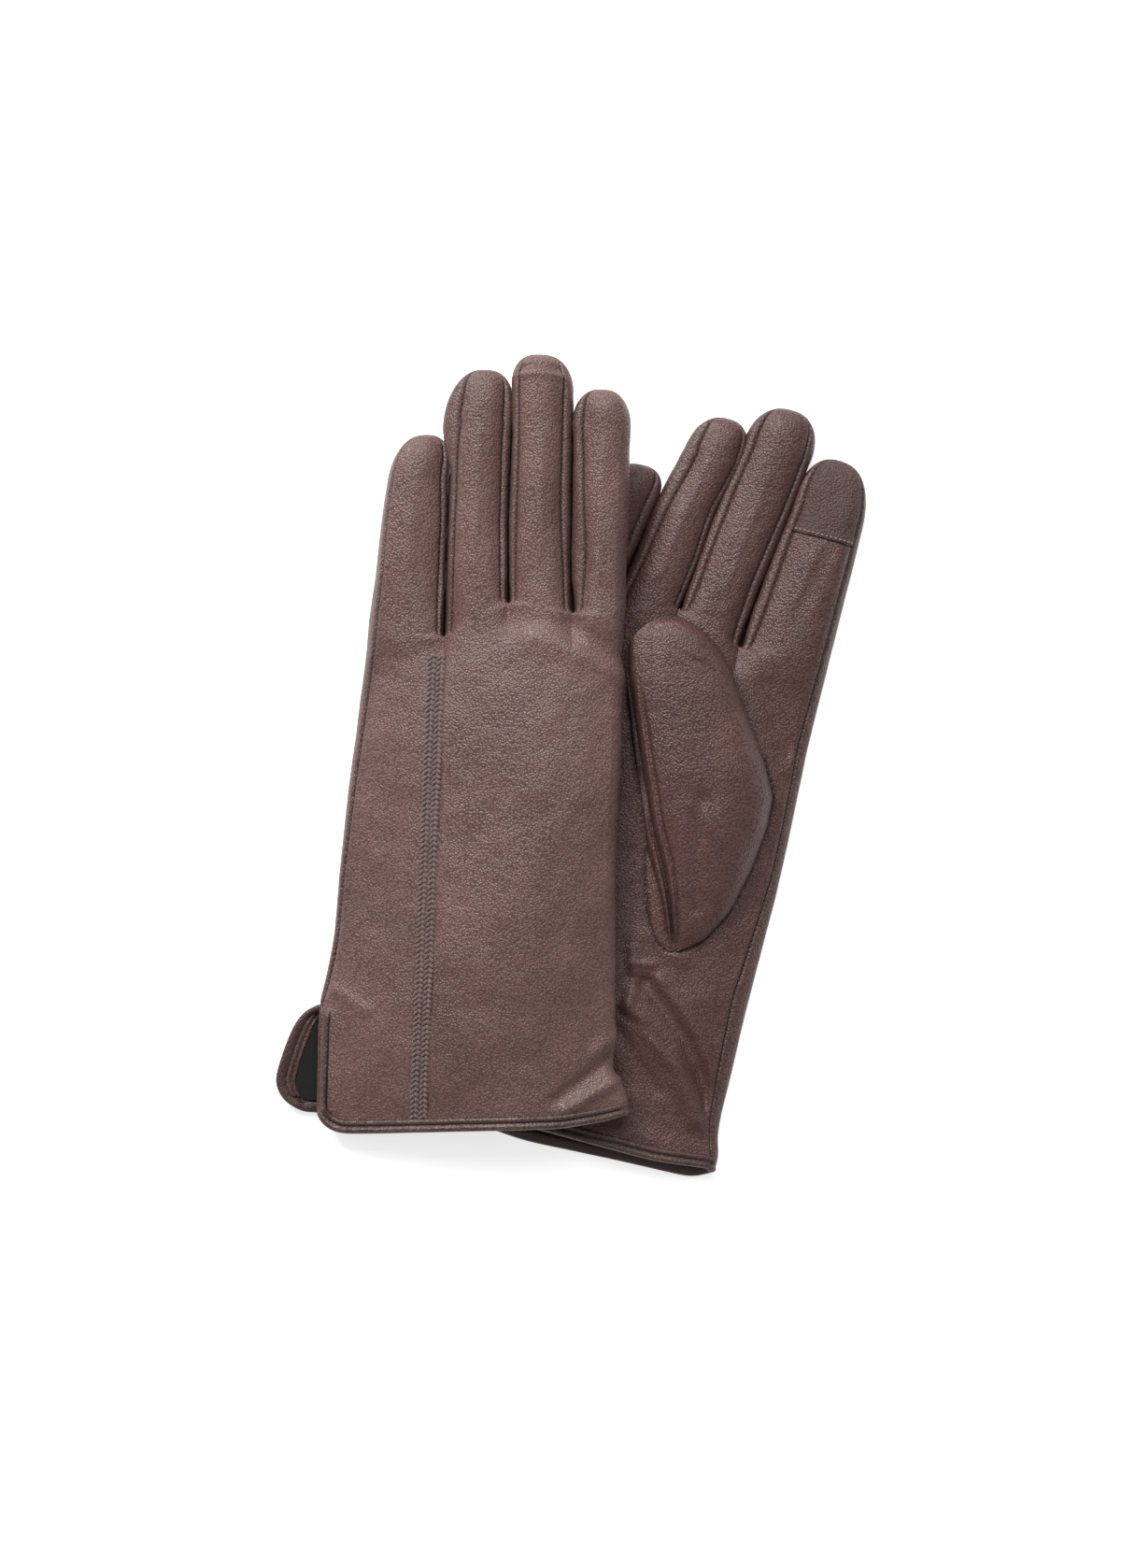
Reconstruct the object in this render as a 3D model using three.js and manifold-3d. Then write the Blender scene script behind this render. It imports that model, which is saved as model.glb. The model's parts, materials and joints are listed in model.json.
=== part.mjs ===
// A pair of lined women's leather gloves laid out as a pair: the right glove lies
// palm up on the table, the left glove lies back up and drapes half across it.
// Millimetres, +Z up. Each glove is drawn in its own flat frame: x runs from the
// little finger to the index finger, y from the hem to the fingertips.
import * as THREE from 'three';
import { mergeVertices } from 'three/addons/utils/BufferGeometryUtils.js';
import Module from 'manifold-3d';

const GAP = 0.35;              // air left between two neighbouring pieces
const LEATHER = 1.0;           // skin thickness
const LINING = 0.5;            // knitted lining thickness
const ELASTIC = 0.45;          // wrist elastic thickness
const EDGE = 2.8;              // radius of the folded side edges
const FINGER_HEIGHT = 9.2;     // height of a finger
const FINGER_SHOULDER = 2.0;   // how far the top of a finger falls at its sides
const INDEX_WRAP = 1.5;        // back skin carried round the index side past the fold
const LINING_SIDE = 6.5;       // the lining stops short of the folded side edges
const LINING_AIR = 0.5;        // between the skin and the lining
const LIFT = LEATHER + LINING_AIR;
const PALM_LIFT = LEATHER + ELASTIC + 2 * LINING_AIR;
const BINDING_WIDTH = 4.2;
const BINDING_THICK = 1.8;
const BRAID_WIDTH = 5.5;
const BRAID_THICK = 0.5;
const BRAID_GROOVE = 0.6;
const ELASTIC_WIDTH = 8;
const TOUCH_SEAM = 199;        // where the touch tip meets the index palm
const DRAPE_SLOPE = 0.225;     // how steeply the left glove climbs onto the right one
const THUMB_HINGE = 56.5;      // along the thumb, from the foot of its oval seam
const THUMB_TIP = 104;
const THUMB_AIR = 0.6;         // between the folded thumb and the palm
const THUMB_FOOT = new THREE.Vector2(16, 63);
const THUMB_LEAN = THREE.MathUtils.degToRad(-16);

/** Value at a position on the broken line through the given pairs. */
function along(...pairs) {
  return (position) => {
    let index = 1;
    while (index < pairs.length - 1 && pairs[index][0] < position) index += 1;
    const [start, startValue] = pairs[index - 1];
    const [end, endValue] = pairs[index];
    const share = THREE.MathUtils.clamp((position - start) / (end - start), 0, 1);
    return THREE.MathUtils.lerp(startValue, endValue, share);
  };
}

const leftFront = along([-40, 152], [-27, 152], [-15, 155], [0, 158.5], [15, 161], [40, 160]);
const rightFront = along([-50, 160], [-35, 161], [-22, 166.3], [10, 166.4], [39, 163]);

// Crown is the height of the hand at its middle. Then come the little-finger side,
// index side, hem and finger bases of each glove, and its fingers: left and right edge at the base and at farY, and the tip.
const LEFT = {
  name: 'left',
  backUp: true,
  crown: 12.4,
  turn: -2.0,
  place: [-25.5, -105.3],
  littleSide: along([0, -50.5], [34, -50.7], [45, -49], [57, -47], [103, -44.2], [152, -40.3]),
  indexSide: along([0, 45], [12, 44.8], [18, 42.4], [31, 41.6], [60, 40.6], [160, 40]),
  hem: along([-50, -4.2], [-20, -2.6], [20, 0.2], [46, 5]),
  front: leftFront,
  ventEdge: -50.8,
  flap: along([0, -61], [10, -63.6], [22, -60.4], [31, -56], [35, -52]),
  fingers: [
    { name: 'little', base: [-40.3, -16.4], far: [-35.7, -15.9], farY: 197, tip: [-25.5, 213] },
    { name: 'ring', base: [-14.8, 2.8], far: [-14.6, 2.6], farY: 212, tip: [-7, 233] },
    { name: 'middle', base: [4.6, 21.9], far: [4.6, 22.0], farY: 219, tip: [12, 238.5] },
    { name: 'index', base: [24.0, 39.8], far: [23.6, 39.9], farY: 211, tip: [31, 228] },
  ],
  thumbHeight: 5.4,
  thumbLiningStart: 0.28,
  thumbReach: 0.7,
  braid: along([0, -18.2], [144, -17.6]),
};

const RIGHT = {
  name: 'right',
  backUp: false,
  crown: 10.2,
  turn: -15.1,
  place: [3.5, -108.8],
  littleSide: along([0, -46], [34, -45.5], [60, -44], [110, -46.5], [160, -49.5]),
  indexSide: along([0, 46], [6, 45.6], [14, 43.8], [40, 42.7], [88, 42.3], [135, 39.9], [163, 39.3]),
  hem: along([-46, -3], [-10, -4.6], [16, -3.6], [46, 0]),
  front: rightFront,
  ventEdge: -46.2,
  flap: along([0, -51], [10, -52], [22, -50], [31, -48], [35, -46.6]),
  fingers: [
    { name: 'little', base: [-49.3, -31.2], far: [-45, -26.6], farY: 192, tip: [-33.5, 207] },
    { name: 'ring', base: [-25.8, -11], far: [-23.6, -8.4], farY: 208, tip: [-13.5, 227.5] },
    { name: 'middle', base: [-9.4, 10], far: [-6.4, 14.6], farY: 213, tip: [5, 235] },
    { name: 'index', base: [11.8, 39.1], far: [16.2, 38.8], farY: 204, tip: [27.5, 223.5] },
  ],
  thumbHeight: 9.8,
  thumbLiningStart: 0.08,
  thumbReach: 1,
  braid: along([0, -18.2], [144, -17.6]),
};

/** Height of the surface a point of the left glove lies on; the right one lies flat. */
function drape(glove, x, y) {
  if (!glove.backUp) return 0;
  const overThumb = 5.6 * Math.exp(-(((y - 105) / 60) ** 2));
  const shelf = RIGHT.crown + 1.2 + overThumb;
  const ramp = 0.9 + DRAPE_SLOPE * Math.max(x + 45, 0);
  const soft = 2.4;
  const mix = THREE.MathUtils.clamp(0.5 + (shelf - ramp) / (4 * soft), 0, 1);
  return THREE.MathUtils.lerp(shelf, ramp, mix) - soft * 2 * mix * (1 - mix);
}

/** Thickness of the flattened hand between its two folded edges. */
function thickness(glove, x, y) {
  const start = glove.littleSide(y) + EDGE;
  const end = glove.indexSide(y) - EDGE;
  const share = THREE.MathUtils.clamp((x - start) / (end - start), 0, 1);
  return 2 * EDGE + (glove.crown - 2 * EDGE) * Math.sin(Math.PI * share) ** 0.5;
}

/** Height of the back or palm face of the hand, pulled inwards by inset. */
function faceHeight(glove, face, x, y, inset = 0) {
  const floor = drape(glove, x, y);
  const upper = (face === 'back') === glove.backUp;
  return upper ? floor + thickness(glove, x, y) - inset : floor + inset;
}

/** Closed solid through a row of equal rings, or through a closed round of them. */
function loft(rings, closed = false) {
  const count = rings[0].length;
  const index = [];
  const quad = (a, b, c, d) => index.push(a, b, c, a, c, d);
  const steps = closed ? rings.length : rings.length - 1;
  for (let row = 0; row < steps; row += 1) {
    const here = row * count;
    const next = ((row + 1) % rings.length) * count;
    for (let i = 0; i < count; i += 1) {
      const j = (i + 1) % count;
      quad(here + i, here + j, next + j, next + i);
    }
  }
  const last = (rings.length - 1) * count;
  for (let i = 0; !closed && i < count / 2 - 1; i += 1) {
    const j = count - 1 - i;
    quad(i + 1, i, j, j - 1);
    quad(last + i, last + i + 1, last + j - 1, last + j);
  }
  const points = rings.flat();
  const geometry = new THREE.BufferGeometry();
  geometry.setAttribute('position', new THREE.Float32BufferAttribute(points.flat(), 3));
  geometry.setIndex(signedVolume(points, index) < 0 ? index.reverse() : index);
  geometry.computeVertexNormals();
  return geometry;
}

function signedVolume(points, index) {
  let total = 0;
  for (let i = 0; i < index.length; i += 3) {
    const [a, b, c] = [0, 1, 2].map((k) => new THREE.Vector3(...points[index[i + k]]));
    total += a.dot(b.cross(c));
  }
  return total / 6;
}

/** Sheet between an outer and an inner path, both given as a function of the row. */
function sheet(rows, path, outer = 0, inner = LEATHER) {
  return loft(rows.map((row) => [...path(row, outer), ...path(row, inner).reverse()]));
}

/** Tube wall between two rounds of points; the ends stay open. */
function tube(rows, round, outer, inner) {
  const outside = rows.map((row) => round(row, outer));
  const inside = rows.map((row) => round(row, inner)).reverse();
  return loft([...outside, ...inside], true);
}

/** Sock: a tube wall closed at its last row. */
function sock(rows, endRow, round, outer, inner) {
  const inside = rows.map((row) => round(row, inner)).reverse();
  const outside = [...rows, endRow].map((row) => round(row, outer));
  return loft([...inside, ...outside]);
}

let wasm;

function toManifold(geometry) {
  const bare = geometry.clone();
  bare.deleteAttribute('normal');
  bare.deleteAttribute('uv');
  const merged = mergeVertices(bare, 1e-4);
  const vertProperties = new Float32Array(merged.attributes.position.array);
  const triVerts = new Uint32Array(merged.index.array);
  return new wasm.Manifold(new wasm.Mesh({ numProp: 3, vertProperties, triVerts }));
}

/** The first geometry with the second one cut out of it. */
function cut(geometry, tool) {
  const result = toManifold(geometry).subtract(toManifold(tool)).getMesh();
  const out = new THREE.BufferGeometry();
  const positions = new THREE.Float32BufferAttribute(result.vertProperties, 3);
  out.setAttribute('position', positions);
  out.setIndex(new THREE.Uint32BufferAttribute(result.triVerts, 1));
  out.computeVertexNormals();
  return out;
}

/* ---- the hand ---- */

const COLUMNS = [0, 0.05, 0.14, 0.3, 0.5, 0.7, 0.86, 0.95, 1];
const FOLD_ANGLES = [55, 0, -55].map(THREE.MathUtils.degToRad);
const HAND_ROWS = [0, 0.06, 0.13, 0.18, 0.27, 0.34, 0.44, 0.55, 0.67, 0.79, 0.9, 1];
const VENT_TOP = 35;
const LAST_VENT_ROW = 4;

/** Where a row of the hand runs: y at a given x, and the row's own middle height. */
function handRow(glove, share) {
  const yAt = (x) => {
    const start = glove.hem(x) + BINDING_WIDTH + 2 * GAP;
    return THREE.MathUtils.lerp(start, glove.front(x), share);
  };
  const middle = yAt(0);
  return { yAt, middle, vent: share <= HAND_ROWS[LAST_VENT_ROW - 1] };
}

/** One point of a face of the hand. */
function facePoint(glove, face, row, x, inset) {
  return [x, row.yAt(x), faceHeight(glove, face, x, row.middle, inset)];
}

/** Points round a folded side edge; side is +1 at the index, -1 at the little finger. */
function foldPoints(glove, row, side, angles, inset) {
  const x = side > 0 ? glove.indexSide(row.middle) - EDGE : glove.littleSide(row.middle) + EDGE;
  const centre = drape(glove, x, row.middle) + EDGE;
  const up = glove.backUp ? 1 : -1;
  const radius = EDGE - inset;
  return angles.map((angle) => {
    const px = x + side * radius * Math.cos(angle);
    return [px, row.yAt(px), centre + up * radius * Math.sin(angle)];
  });
}

function columnX(glove, row, share) {
  const start = glove.littleSide(row.middle) + EDGE;
  const end = glove.indexSide(row.middle) - EDGE;
  return THREE.MathUtils.lerp(start, end, share);
}

/** Back skin: from the little-finger seam across the back and round the index side. */
function backPath(glove) {
  return (row, inset) => {
    const xs = COLUMNS.map((share) => columnX(glove, row, share));
    if (row.vent) xs[0] = Math.max(xs[0], glove.ventEdge + BINDING_WIDTH + GAP);
    const face = xs.map((x) => facePoint(glove, 'back', row, x, inset));
    const wrapX = glove.indexSide(row.middle) - EDGE - INDEX_WRAP;
    const wrap = facePoint(glove, 'palm', row, wrapX, inset);
    return [...face, ...foldPoints(glove, row, 1, FOLD_ANGLES, inset), wrap];
  };
}

/** Palm skin: across the palm and round the little-finger side onto the back. */
function palmPath(glove) {
  const around = [-55, -10, 35, 70].map(THREE.MathUtils.degToRad);
  return (row, inset) => {
    const xs = [...COLUMNS].reverse().map((share) => columnX(glove, row, share));
    xs[0] -= INDEX_WRAP + GAP;
    const face = xs.map((x) => facePoint(glove, 'palm', row, x, inset));
    if (!row.vent) return [...face, ...foldPoints(glove, row, -1, around, inset)];
    const start = xs[xs.length - 1];
    const outer = glove.flap(row.middle) + BINDING_WIDTH + GAP;
    const end = row.middle > 26 ? Math.max(outer, glove.ventEdge + 3.2) : outer;
    const height = faceHeight(glove, 'palm', start, row.middle, inset);
    const flap = [0.25, 0.5, 0.75, 1].map((share) => {
      const x = THREE.MathUtils.lerp(start, end, share);
      return [x, row.yAt(x), height];
    });
    return [...face, ...flap];
  };
}

/** Round of the hand lining, thinner towards the folded edges. */
function liningRound(glove) {
  return (row, depth) => {
    const start = glove.littleSide(row.middle) + LINING_SIDE + depth;
    const end = glove.indexSide(row.middle) - LINING_SIDE - depth;
    const xs = COLUMNS.map((share) => THREE.MathUtils.lerp(start, end, share));
    const back = xs.map((x) => facePoint(glove, 'back', row, x, LIFT + depth));
    const palm = xs.map((x) => facePoint(glove, 'palm', row, x, PALM_LIFT + depth));
    return [...back, ...palm.reverse()];
  };
}

function handRows(glove) {
  return HAND_ROWS.map((share) => handRow(glove, share));
}

/** Prism over the thumb's oval seam, pulled in by margin, for cutting its hole. */
function thumbHole(glove, margin) {
  const stations = [6 + margin, 14, 26, 38, 48, THUMB_HINGE - margin];
  const edge = (side) => stations.map((s) => {
    const inset = 3 + margin;
    return thumbToHand(side < 0 ? thumbLeft(s) + inset : thumbRight(s) - inset, s);
  });
  const outline = [...edge(-1), ...edge(1).reverse()].map(([x, y]) => new THREE.Vector2(x, y));
  const geometry = new THREE.ExtrudeGeometry(new THREE.Shape(outline), {
    depth: glove.crown / 2,
    bevelEnabled: false,
  });
  const centre = thumbToHand(10, 40);
  const height = faceHeight(glove, 'palm', centre[0], centre[1]);
  const start = glove.backUp ? 4 : glove.crown / 2 - 1;
  return geometry.translate(0, 0, height - start);
}

/* ---- the fingers ---- */

const BASE_SHARES = [0, 0.34, 0.67, 1];
const TIP_SHARES = [0.35, 0.6, 0.8, 0.93, 0.985];

/** Rows of a finger: straight part from the base, then the rounded tip. */
function fingerRows(glove, finger) {
  const rows = BASE_SHARES.map((share) => {
    const left = THREE.MathUtils.lerp(finger.base[0], finger.far[0], share);
    const right = THREE.MathUtils.lerp(finger.base[1], finger.far[1], share);
    const yAt = (x) => THREE.MathUtils.lerp(glove.front(x) + 0.6, finger.farY, share);
    return { left, right, yAt, taper: 0 };
  });
  const [farLeft, farRight] = finger.far;
  const centre = (farLeft + farRight) / 2;
  TIP_SHARES.forEach((share) => {
    const scale = (1 - share ** 2.3) ** (1 / 2.3);
    const middle = THREE.MathUtils.lerp(centre, finger.tip[0], share);
    const half = (farRight - farLeft) / 2 * scale;
    const y = THREE.MathUtils.lerp(finger.farY, finger.tip[1], share);
    rows.push({ left: middle - half, right: middle + half, yAt: () => y, taper: share ** 3 });
  });
  return rows;
}

/** Height of the level plane a finger lies on. */
function fingerFloor(glove, finger) {
  const y = glove.front((finger.base[0] + finger.base[1]) / 2);
  return drape(glove, (finger.base[0] + finger.base[1]) / 2, y);
}

/** Section of a finger at a row: bottom and top heights and a point helper. */
function fingerSection(glove, finger, row) {
  const floor = fingerFloor(glove, finger);
  const bottom = 2.4 * row.taper;
  const top = FINGER_HEIGHT - 3.2 * row.taper;
  const xOf = (share, inset) => {
    return THREE.MathUtils.mapLinear(share, -1, 1, row.left + inset, row.right - inset);
  };
  const low = (share, inset, side = inset) => {
    const x = xOf(share, side);
    return [x, row.yAt(x), floor + bottom + inset];
  };
  const high = (share, inset, side = inset) => {
    const x = xOf(share, side);
    const fall = FINGER_SHOULDER * (1 - row.taper) * Math.abs(share) ** 2.5;
    return [x, row.yAt(x), floor + top - fall - inset];
  };
  return { low, high };
}

const SPAN = [-1, -0.6, 0, 0.6, 1];

/** Skin over the top or the bottom of a finger, carried down or up one side if asked. */
function fingerPanel(glove, finger, rows, upper, wrapSide) {
  const path = (row, inset) => {
    const section = fingerSection(glove, finger, row);
    const height = upper ? section.high : section.low;
    const side = wrapSide ? inset : 0;
    const points = SPAN.map((share) => height(share, inset, share === wrapSide ? side : 0));
    if (!wrapSide) return points;
    const far = upper ? section.low : section.high;
    const end = far(wrapSide, LEATHER + GAP, inset);
    return wrapSide > 0 ? [...points, end] : [end, ...points];
  };
  return sheet(rows, path);
}

/** Side strip between the top and bottom skins of a finger. */
function fingerStrip(glove, finger, rows, side) {
  const path = (row, inset) => {
    const section = fingerSection(glove, finger, row);
    const depth = LEATHER + GAP;
    return [section.low(side, depth, inset), section.high(side, depth, inset)];
  };
  return sheet(rows, path);
}

/** Lining of a finger, a sock open at the base. */
function fingerLining(glove, finger, rows) {
  const round = (row, inset) => {
    const section = fingerSection(glove, finger, row);
    const top = [-1, -0.5, 0, 0.5, 1].map((share) => section.high(share, inset));
    const under = [1, 0.5, 0, -0.5, -1].map((share) => section.low(share, inset));
    return [...top, ...under];
  };
  const straight = rows.slice(0, -3);
  return sock(straight, rows[rows.length - 3], round, LIFT, LIFT + LINING);
}

/* ---- the thumb ---- */

const thumbLeft = along([0, -1], [2, -4.8], [8, -7.6], [20, -8.6], [34, -6.6], [50, -8.6],
  [81, -12.3], [93, -13], [100, -11], [104, -4.5]);
const thumbRight = along([0, 1], [3, 9], [12, 17.6], [25, 24.4], [38, 29.6], [48, 31.6],
  [59, 28.6], [73, 23.8], [85, 20], [94, 16], [100, 11.6], [104, 6]);

/** Point of the thumb's own frame in the frame of the hand. */
function thumbToHand(x, y) {
  const turned = new THREE.Vector2(x, y).rotateAround(new THREE.Vector2(), -THUMB_LEAN);
  return turned.add(THUMB_FOOT).toArray();
}

/** Point of the thumb at a share of its width, a distance outwards from the palm.
 *  The stall of a thumb that is tucked under its glove is drawn up by thumbReach. */
function thumbPoint(glove, y, share, offset, side = 0) {
  const x = THREE.MathUtils.lerp(thumbLeft(y) + side, thumbRight(y) - side, share);
  const beyond = Math.max(y - THUMB_HINGE, 0) * (1 - glove.thumbReach);
  const [handX, handY] = thumbToHand(x, y - beyond);
  const out = glove.backUp ? -1 : 1;
  const palm = faceHeight(glove, 'palm', handX, handY);
  return [handX, handY, palm + out * offset];
}

const THUMB_SPAN = [0, 0.06, 0.2, 0.4, 0.6, 0.8, 0.94, 1];

/** Domed skin of the thumb, its rim at a height above the palm. */
function thumbDome(glove, stations, rim, crownAt) {
  const path = (y, inset) => THUMB_SPAN.map((share) => {
    const arch = Math.sin(Math.PI * share) ** 0.5;
    const offset = rim + (crownAt(y) - rim) * arch;
    return thumbPoint(glove, y, share, offset - inset, inset * 0.8);
  });
  return sheet(stations, path);
}

function thumbBase(glove) {
  const rise = along([0, 2], [20, glove.thumbHeight * 0.55], [56, glove.thumbHeight]);
  return thumbDome(glove, [2, 8, 16, 26, 38, 48, THUMB_HINGE - GAP], THUMB_AIR + LEATHER, rise);
}

const STALL = [THUMB_HINGE + GAP, 64, 73, 84, 93, 99, 102.5];

function thumbOuter(glove) {
  const rim = THUMB_AIR + 2 * LEATHER + GAP;
  const rise = along([93, glove.thumbHeight], [THUMB_TIP, rim + 1.2]);
  return thumbDome(glove, STALL, rim, rise);
}

function thumbInner(glove) {
  const path = (y, inset) => THUMB_SPAN.map((share) => {
    return thumbPoint(glove, y, share, THUMB_AIR + inset);
  });
  return sheet(STALL, path);
}

function thumbLining(glove) {
  const floor = THUMB_AIR + LEATHER + LINING_AIR;
  const rise = along([93, glove.thumbHeight], [THUMB_TIP, floor + 2.6]);
  const first = glove.thumbLiningStart;
  const round = (y, depth) => {
    const side = 3.4 + depth;
    const even = [0, 0.25, 0.5, 0.75, 1];
    const shares = even.map((share) => THREE.MathUtils.lerp(first, 1 - first, share));
    const top = shares.map((share) => {
      const arch = Math.sin(Math.PI * share) ** 0.5;
      const skin = floor + (rise(y) - floor) * arch * 0.97;
      return thumbPoint(glove, y, share, skin - LEATHER - LINING_AIR - depth, side);
    });
    const under = shares.map((share) => thumbPoint(glove, y, share, floor + depth, side));
    return [...top, ...under.reverse()];
  };
  return sock([57.5, 64, 73, 84, 92], 93, round, 0, LINING);
}

/* ---- binding, braid and elastic ---- */

/** One station of the cuff binding: edge point, way into the sheet, outward normal. */
function bindingRing(point, inward, outward) {
  const edge = new THREE.Vector3(...point);
  const into = new THREE.Vector3(...inward).normalize().multiplyScalar(BINDING_WIDTH);
  const down = new THREE.Vector3(...outward).normalize().multiplyScalar(-BINDING_THICK);
  const corners = [edge, edge.clone().add(into), edge.clone().add(into).add(down)];
  return [...corners, edge.clone().add(down)].map((corner) => corner.toArray());
}

/** The binding runs round the hem and up both edges of the vent as one closed strip. */
function cuffBinding(glove) {
  const up = glove.backUp ? 1 : -1;
  const row = (x) => ({ yAt: () => glove.hem(x), middle: 4 });
  const onFace = (face, x, y) => [x, y, faceHeight(glove, face, x, Math.max(y, 4))];
  const out = { back: [0, 0, up], palm: [0, 0, -up] };
  const start = glove.littleSide(4) + EDGE;
  const end = glove.indexSide(4) - EDGE;
  const hemXs = [0.02, 0.1, 0.3, 0.5, 0.7, 0.9, 1].map((s) => THREE.MathUtils.lerp(start, end, s));
  const hemRings = (face, xs) => xs.map((x) => {
    return bindingRing(onFace(face, x, glove.hem(x)), [0, 1, 0], out[face]);
  });
  const vent = glove.ventEdge;
  const ventRings = [31, 22, 12, 4].map((y) => {
    const point = [vent, y, faceHeight(glove, 'back', start, y)];
    return bindingRing(point, [1, 0, 0], out.back);
  });
  const backCorner = [vent + 1.2, glove.hem(vent) + 1.2, faceHeight(glove, 'back', start, 4)];
  const palmZ = faceHeight(glove, 'palm', start, 4);
  const foldRings = FOLD_ANGLES.map((angle) => {
    const [point] = foldPoints(glove, row(end), 1, [angle], 0);
    return bindingRing(point, [0, 1, 0], [Math.cos(angle), 0, up * Math.sin(angle)]);
  });
  const flapRings = [6, 12, 22, 30].map((y) => {
    return bindingRing([glove.flap(y), y, palmZ], [1, 0, 0], out.palm);
  });
  const corner = [glove.flap(2) + 0.8, glove.hem(glove.flap(2)) + 1.4, palmZ];
  const apexZ = drape(glove, start, VENT_TOP) + EDGE;
  const apex = bindingRing([vent - 0.4, VENT_TOP - 1.2, apexZ], [0, 1, 0], [-1, 0, 0]);
  return loft([
    ...ventRings,
    bindingRing(backCorner, [1, 1, 0], out.back),
    ...hemRings('back', hemXs),
    ...foldRings,
    ...hemRings('palm', [...hemXs].reverse()),
    bindingRing(corner, [1, 1, 0], out.palm),
    ...flapRings,
    apex,
  ], true);
}

/** Strip along the back of the hand; from and to are insets from the back face. */
function backStrip(glove, halfWidth, from, to, startY, endY) {
  const stations = [0, 0.2, 0.4, 0.6, 0.8, 1].map((s) => THREE.MathUtils.lerp(startY, endY, s));
  const path = (y, inset) => [-1, 0, 1].map((side) => {
    const x = glove.braid(y) + side * halfWidth;
    return [x, y, faceHeight(glove, 'back', x, y, inset)];
  });
  return sheet(stations, path, from, to);
}

/** Elastic across the wrist, between the palm skin and the lining. */
function wristElastic(glove) {
  const xs = [-24, -18, -12, -6, 0, 6, 12, 18, 24];
  const path = (y, inset) => xs.map((x) => {
    return [x, y, faceHeight(glove, 'palm', x, y, LEATHER + GAP + inset)];
  });
  return sheet([46, 46 + ELASTIC_WIDTH], path, 0, ELASTIC);
}

/* ---- materials ---- */

function leatherMaterial() {
  return new THREE.MeshStandardMaterial({ color: 0x6a4f4b, roughness: 0.52, metalness: 0 });
}

function fourchetteMaterial() {
  return new THREE.MeshStandardMaterial({ color: 0x5f4642, roughness: 0.55, metalness: 0 });
}

function touchMaterial() {
  return new THREE.MeshStandardMaterial({ color: 0x5e4744, roughness: 0.5, metalness: 0 });
}

function liningMaterial() {
  return new THREE.MeshStandardMaterial({ color: 0x262423, roughness: 0.95, metalness: 0 });
}

function threadMaterial() {
  return new THREE.MeshStandardMaterial({ color: 0x4a3431, roughness: 0.7, metalness: 0 });
}

function elasticMaterial() {
  return new THREE.MeshStandardMaterial({ color: 0x1d1c1c, roughness: 0.9, metalness: 0 });
}

/* ---- assembly ---- */

function handPieces(glove, add) {
  const rows = handRows(glove);
  const groove = backStrip(glove, BRAID_WIDTH / 2 + GAP, -1, BRAID_GROOVE, 3, 144 + GAP);
  add('back_panel', cut(sheet(rows, backPath(glove)), groove), leatherMaterial());
  add('palm_panel', cut(sheet(rows, palmPath(glove)), thumbHole(glove, 0)), leatherMaterial());
  const lining = tube(rows, liningRound(glove), 0, LINING);
  add('hand_lining', cut(lining, thumbHole(glove, -1)), liningMaterial());
  add('cuff_binding', cuffBinding(glove), leatherMaterial());
  const proud = BRAID_GROOVE - GAP - BRAID_THICK;
  const braid = backStrip(glove, BRAID_WIDTH / 2, proud, proud + BRAID_THICK, 4.5, 144);
  add('back_braid', braid, threadMaterial());
  add('wrist_elastic', wristElastic(glove), elasticMaterial());
}

function fingerPieces(glove, add, finger, order) {
  const rows = fingerRows(glove, finger);
  const littleSide = order === 0 ? -1 : 0;
  const indexSide = order === glove.fingers.length - 1 ? 1 : 0;
  const name = finger.name;
  const back = fingerPanel(glove, finger, rows, glove.backUp, indexSide);
  add(`${name}_back`, back, leatherMaterial());
  if (name === 'index') {
    const split = splitRows(rows, TOUCH_SEAM);
    add('index_palm', fingerPanel(glove, finger, split[0], !glove.backUp, 0), leatherMaterial());
    add('index_touch_tip', fingerPanel(glove, finger, split[1], !glove.backUp, 0), touchMaterial());
  } else {
    const palm = fingerPanel(glove, finger, rows, !glove.backUp, littleSide);
    add(`${name}_palm`, palm, leatherMaterial());
  }
  const stripRows = rows.slice(0, -2);
  if (!littleSide) {
    const strip = fingerStrip(glove, finger, stripRows, -1);
    add(`${name}_fourchette_little_side`, strip, fourchetteMaterial());
  }
  if (!indexSide) {
    const strip = fingerStrip(glove, finger, stripRows, 1);
    add(`${name}_fourchette_index_side`, strip, fourchetteMaterial());
  }
  add(`${name}_lining`, fingerLining(glove, finger, rows), liningMaterial());
}

/** The rows before and after a line across the finger, each ending beside it. */
function splitRows(rows, y) {
  const after = rows.findIndex((row) => row.yAt(row.left) > y);
  const [a, b] = [rows[after - 1], rows[after]];
  const middle = (row) => row.yAt((row.left + row.right) / 2);
  const rowAt = (target) => {
    const share = (target - middle(a)) / (middle(b) - middle(a));
    return {
      left: THREE.MathUtils.lerp(a.left, b.left, share),
      right: THREE.MathUtils.lerp(a.right, b.right, share),
      yAt: () => target,
      taper: THREE.MathUtils.lerp(a.taper, b.taper, share),
    };
  };
  const before = [...rows.slice(0, after), rowAt(y - GAP / 2)];
  return [before, [rowAt(y + GAP / 2), ...rows.slice(after)]];
}

function buildGlove(glove) {
  const group = new THREE.Group();
  group.name = `${glove.name}_glove`;
  const add = (name, geometry, material) => {
    const mesh = new THREE.Mesh(geometry, material);
    mesh.name = `${glove.name}_${name}`;
    group.add(mesh);
  };
  handPieces(glove, add);
  glove.fingers.forEach((finger, order) => fingerPieces(glove, add, finger, order));
  add('thumb_base', thumbBase(glove), leatherMaterial());
  add('thumb_outer', thumbOuter(glove), leatherMaterial());
  add('thumb_inner', thumbInner(glove), leatherMaterial());
  add('thumb_lining', thumbLining(glove), liningMaterial());
  group.rotation.z = THREE.MathUtils.degToRad(glove.turn);
  group.position.set(glove.place[0], glove.place[1], 0);
  return group;
}

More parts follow.
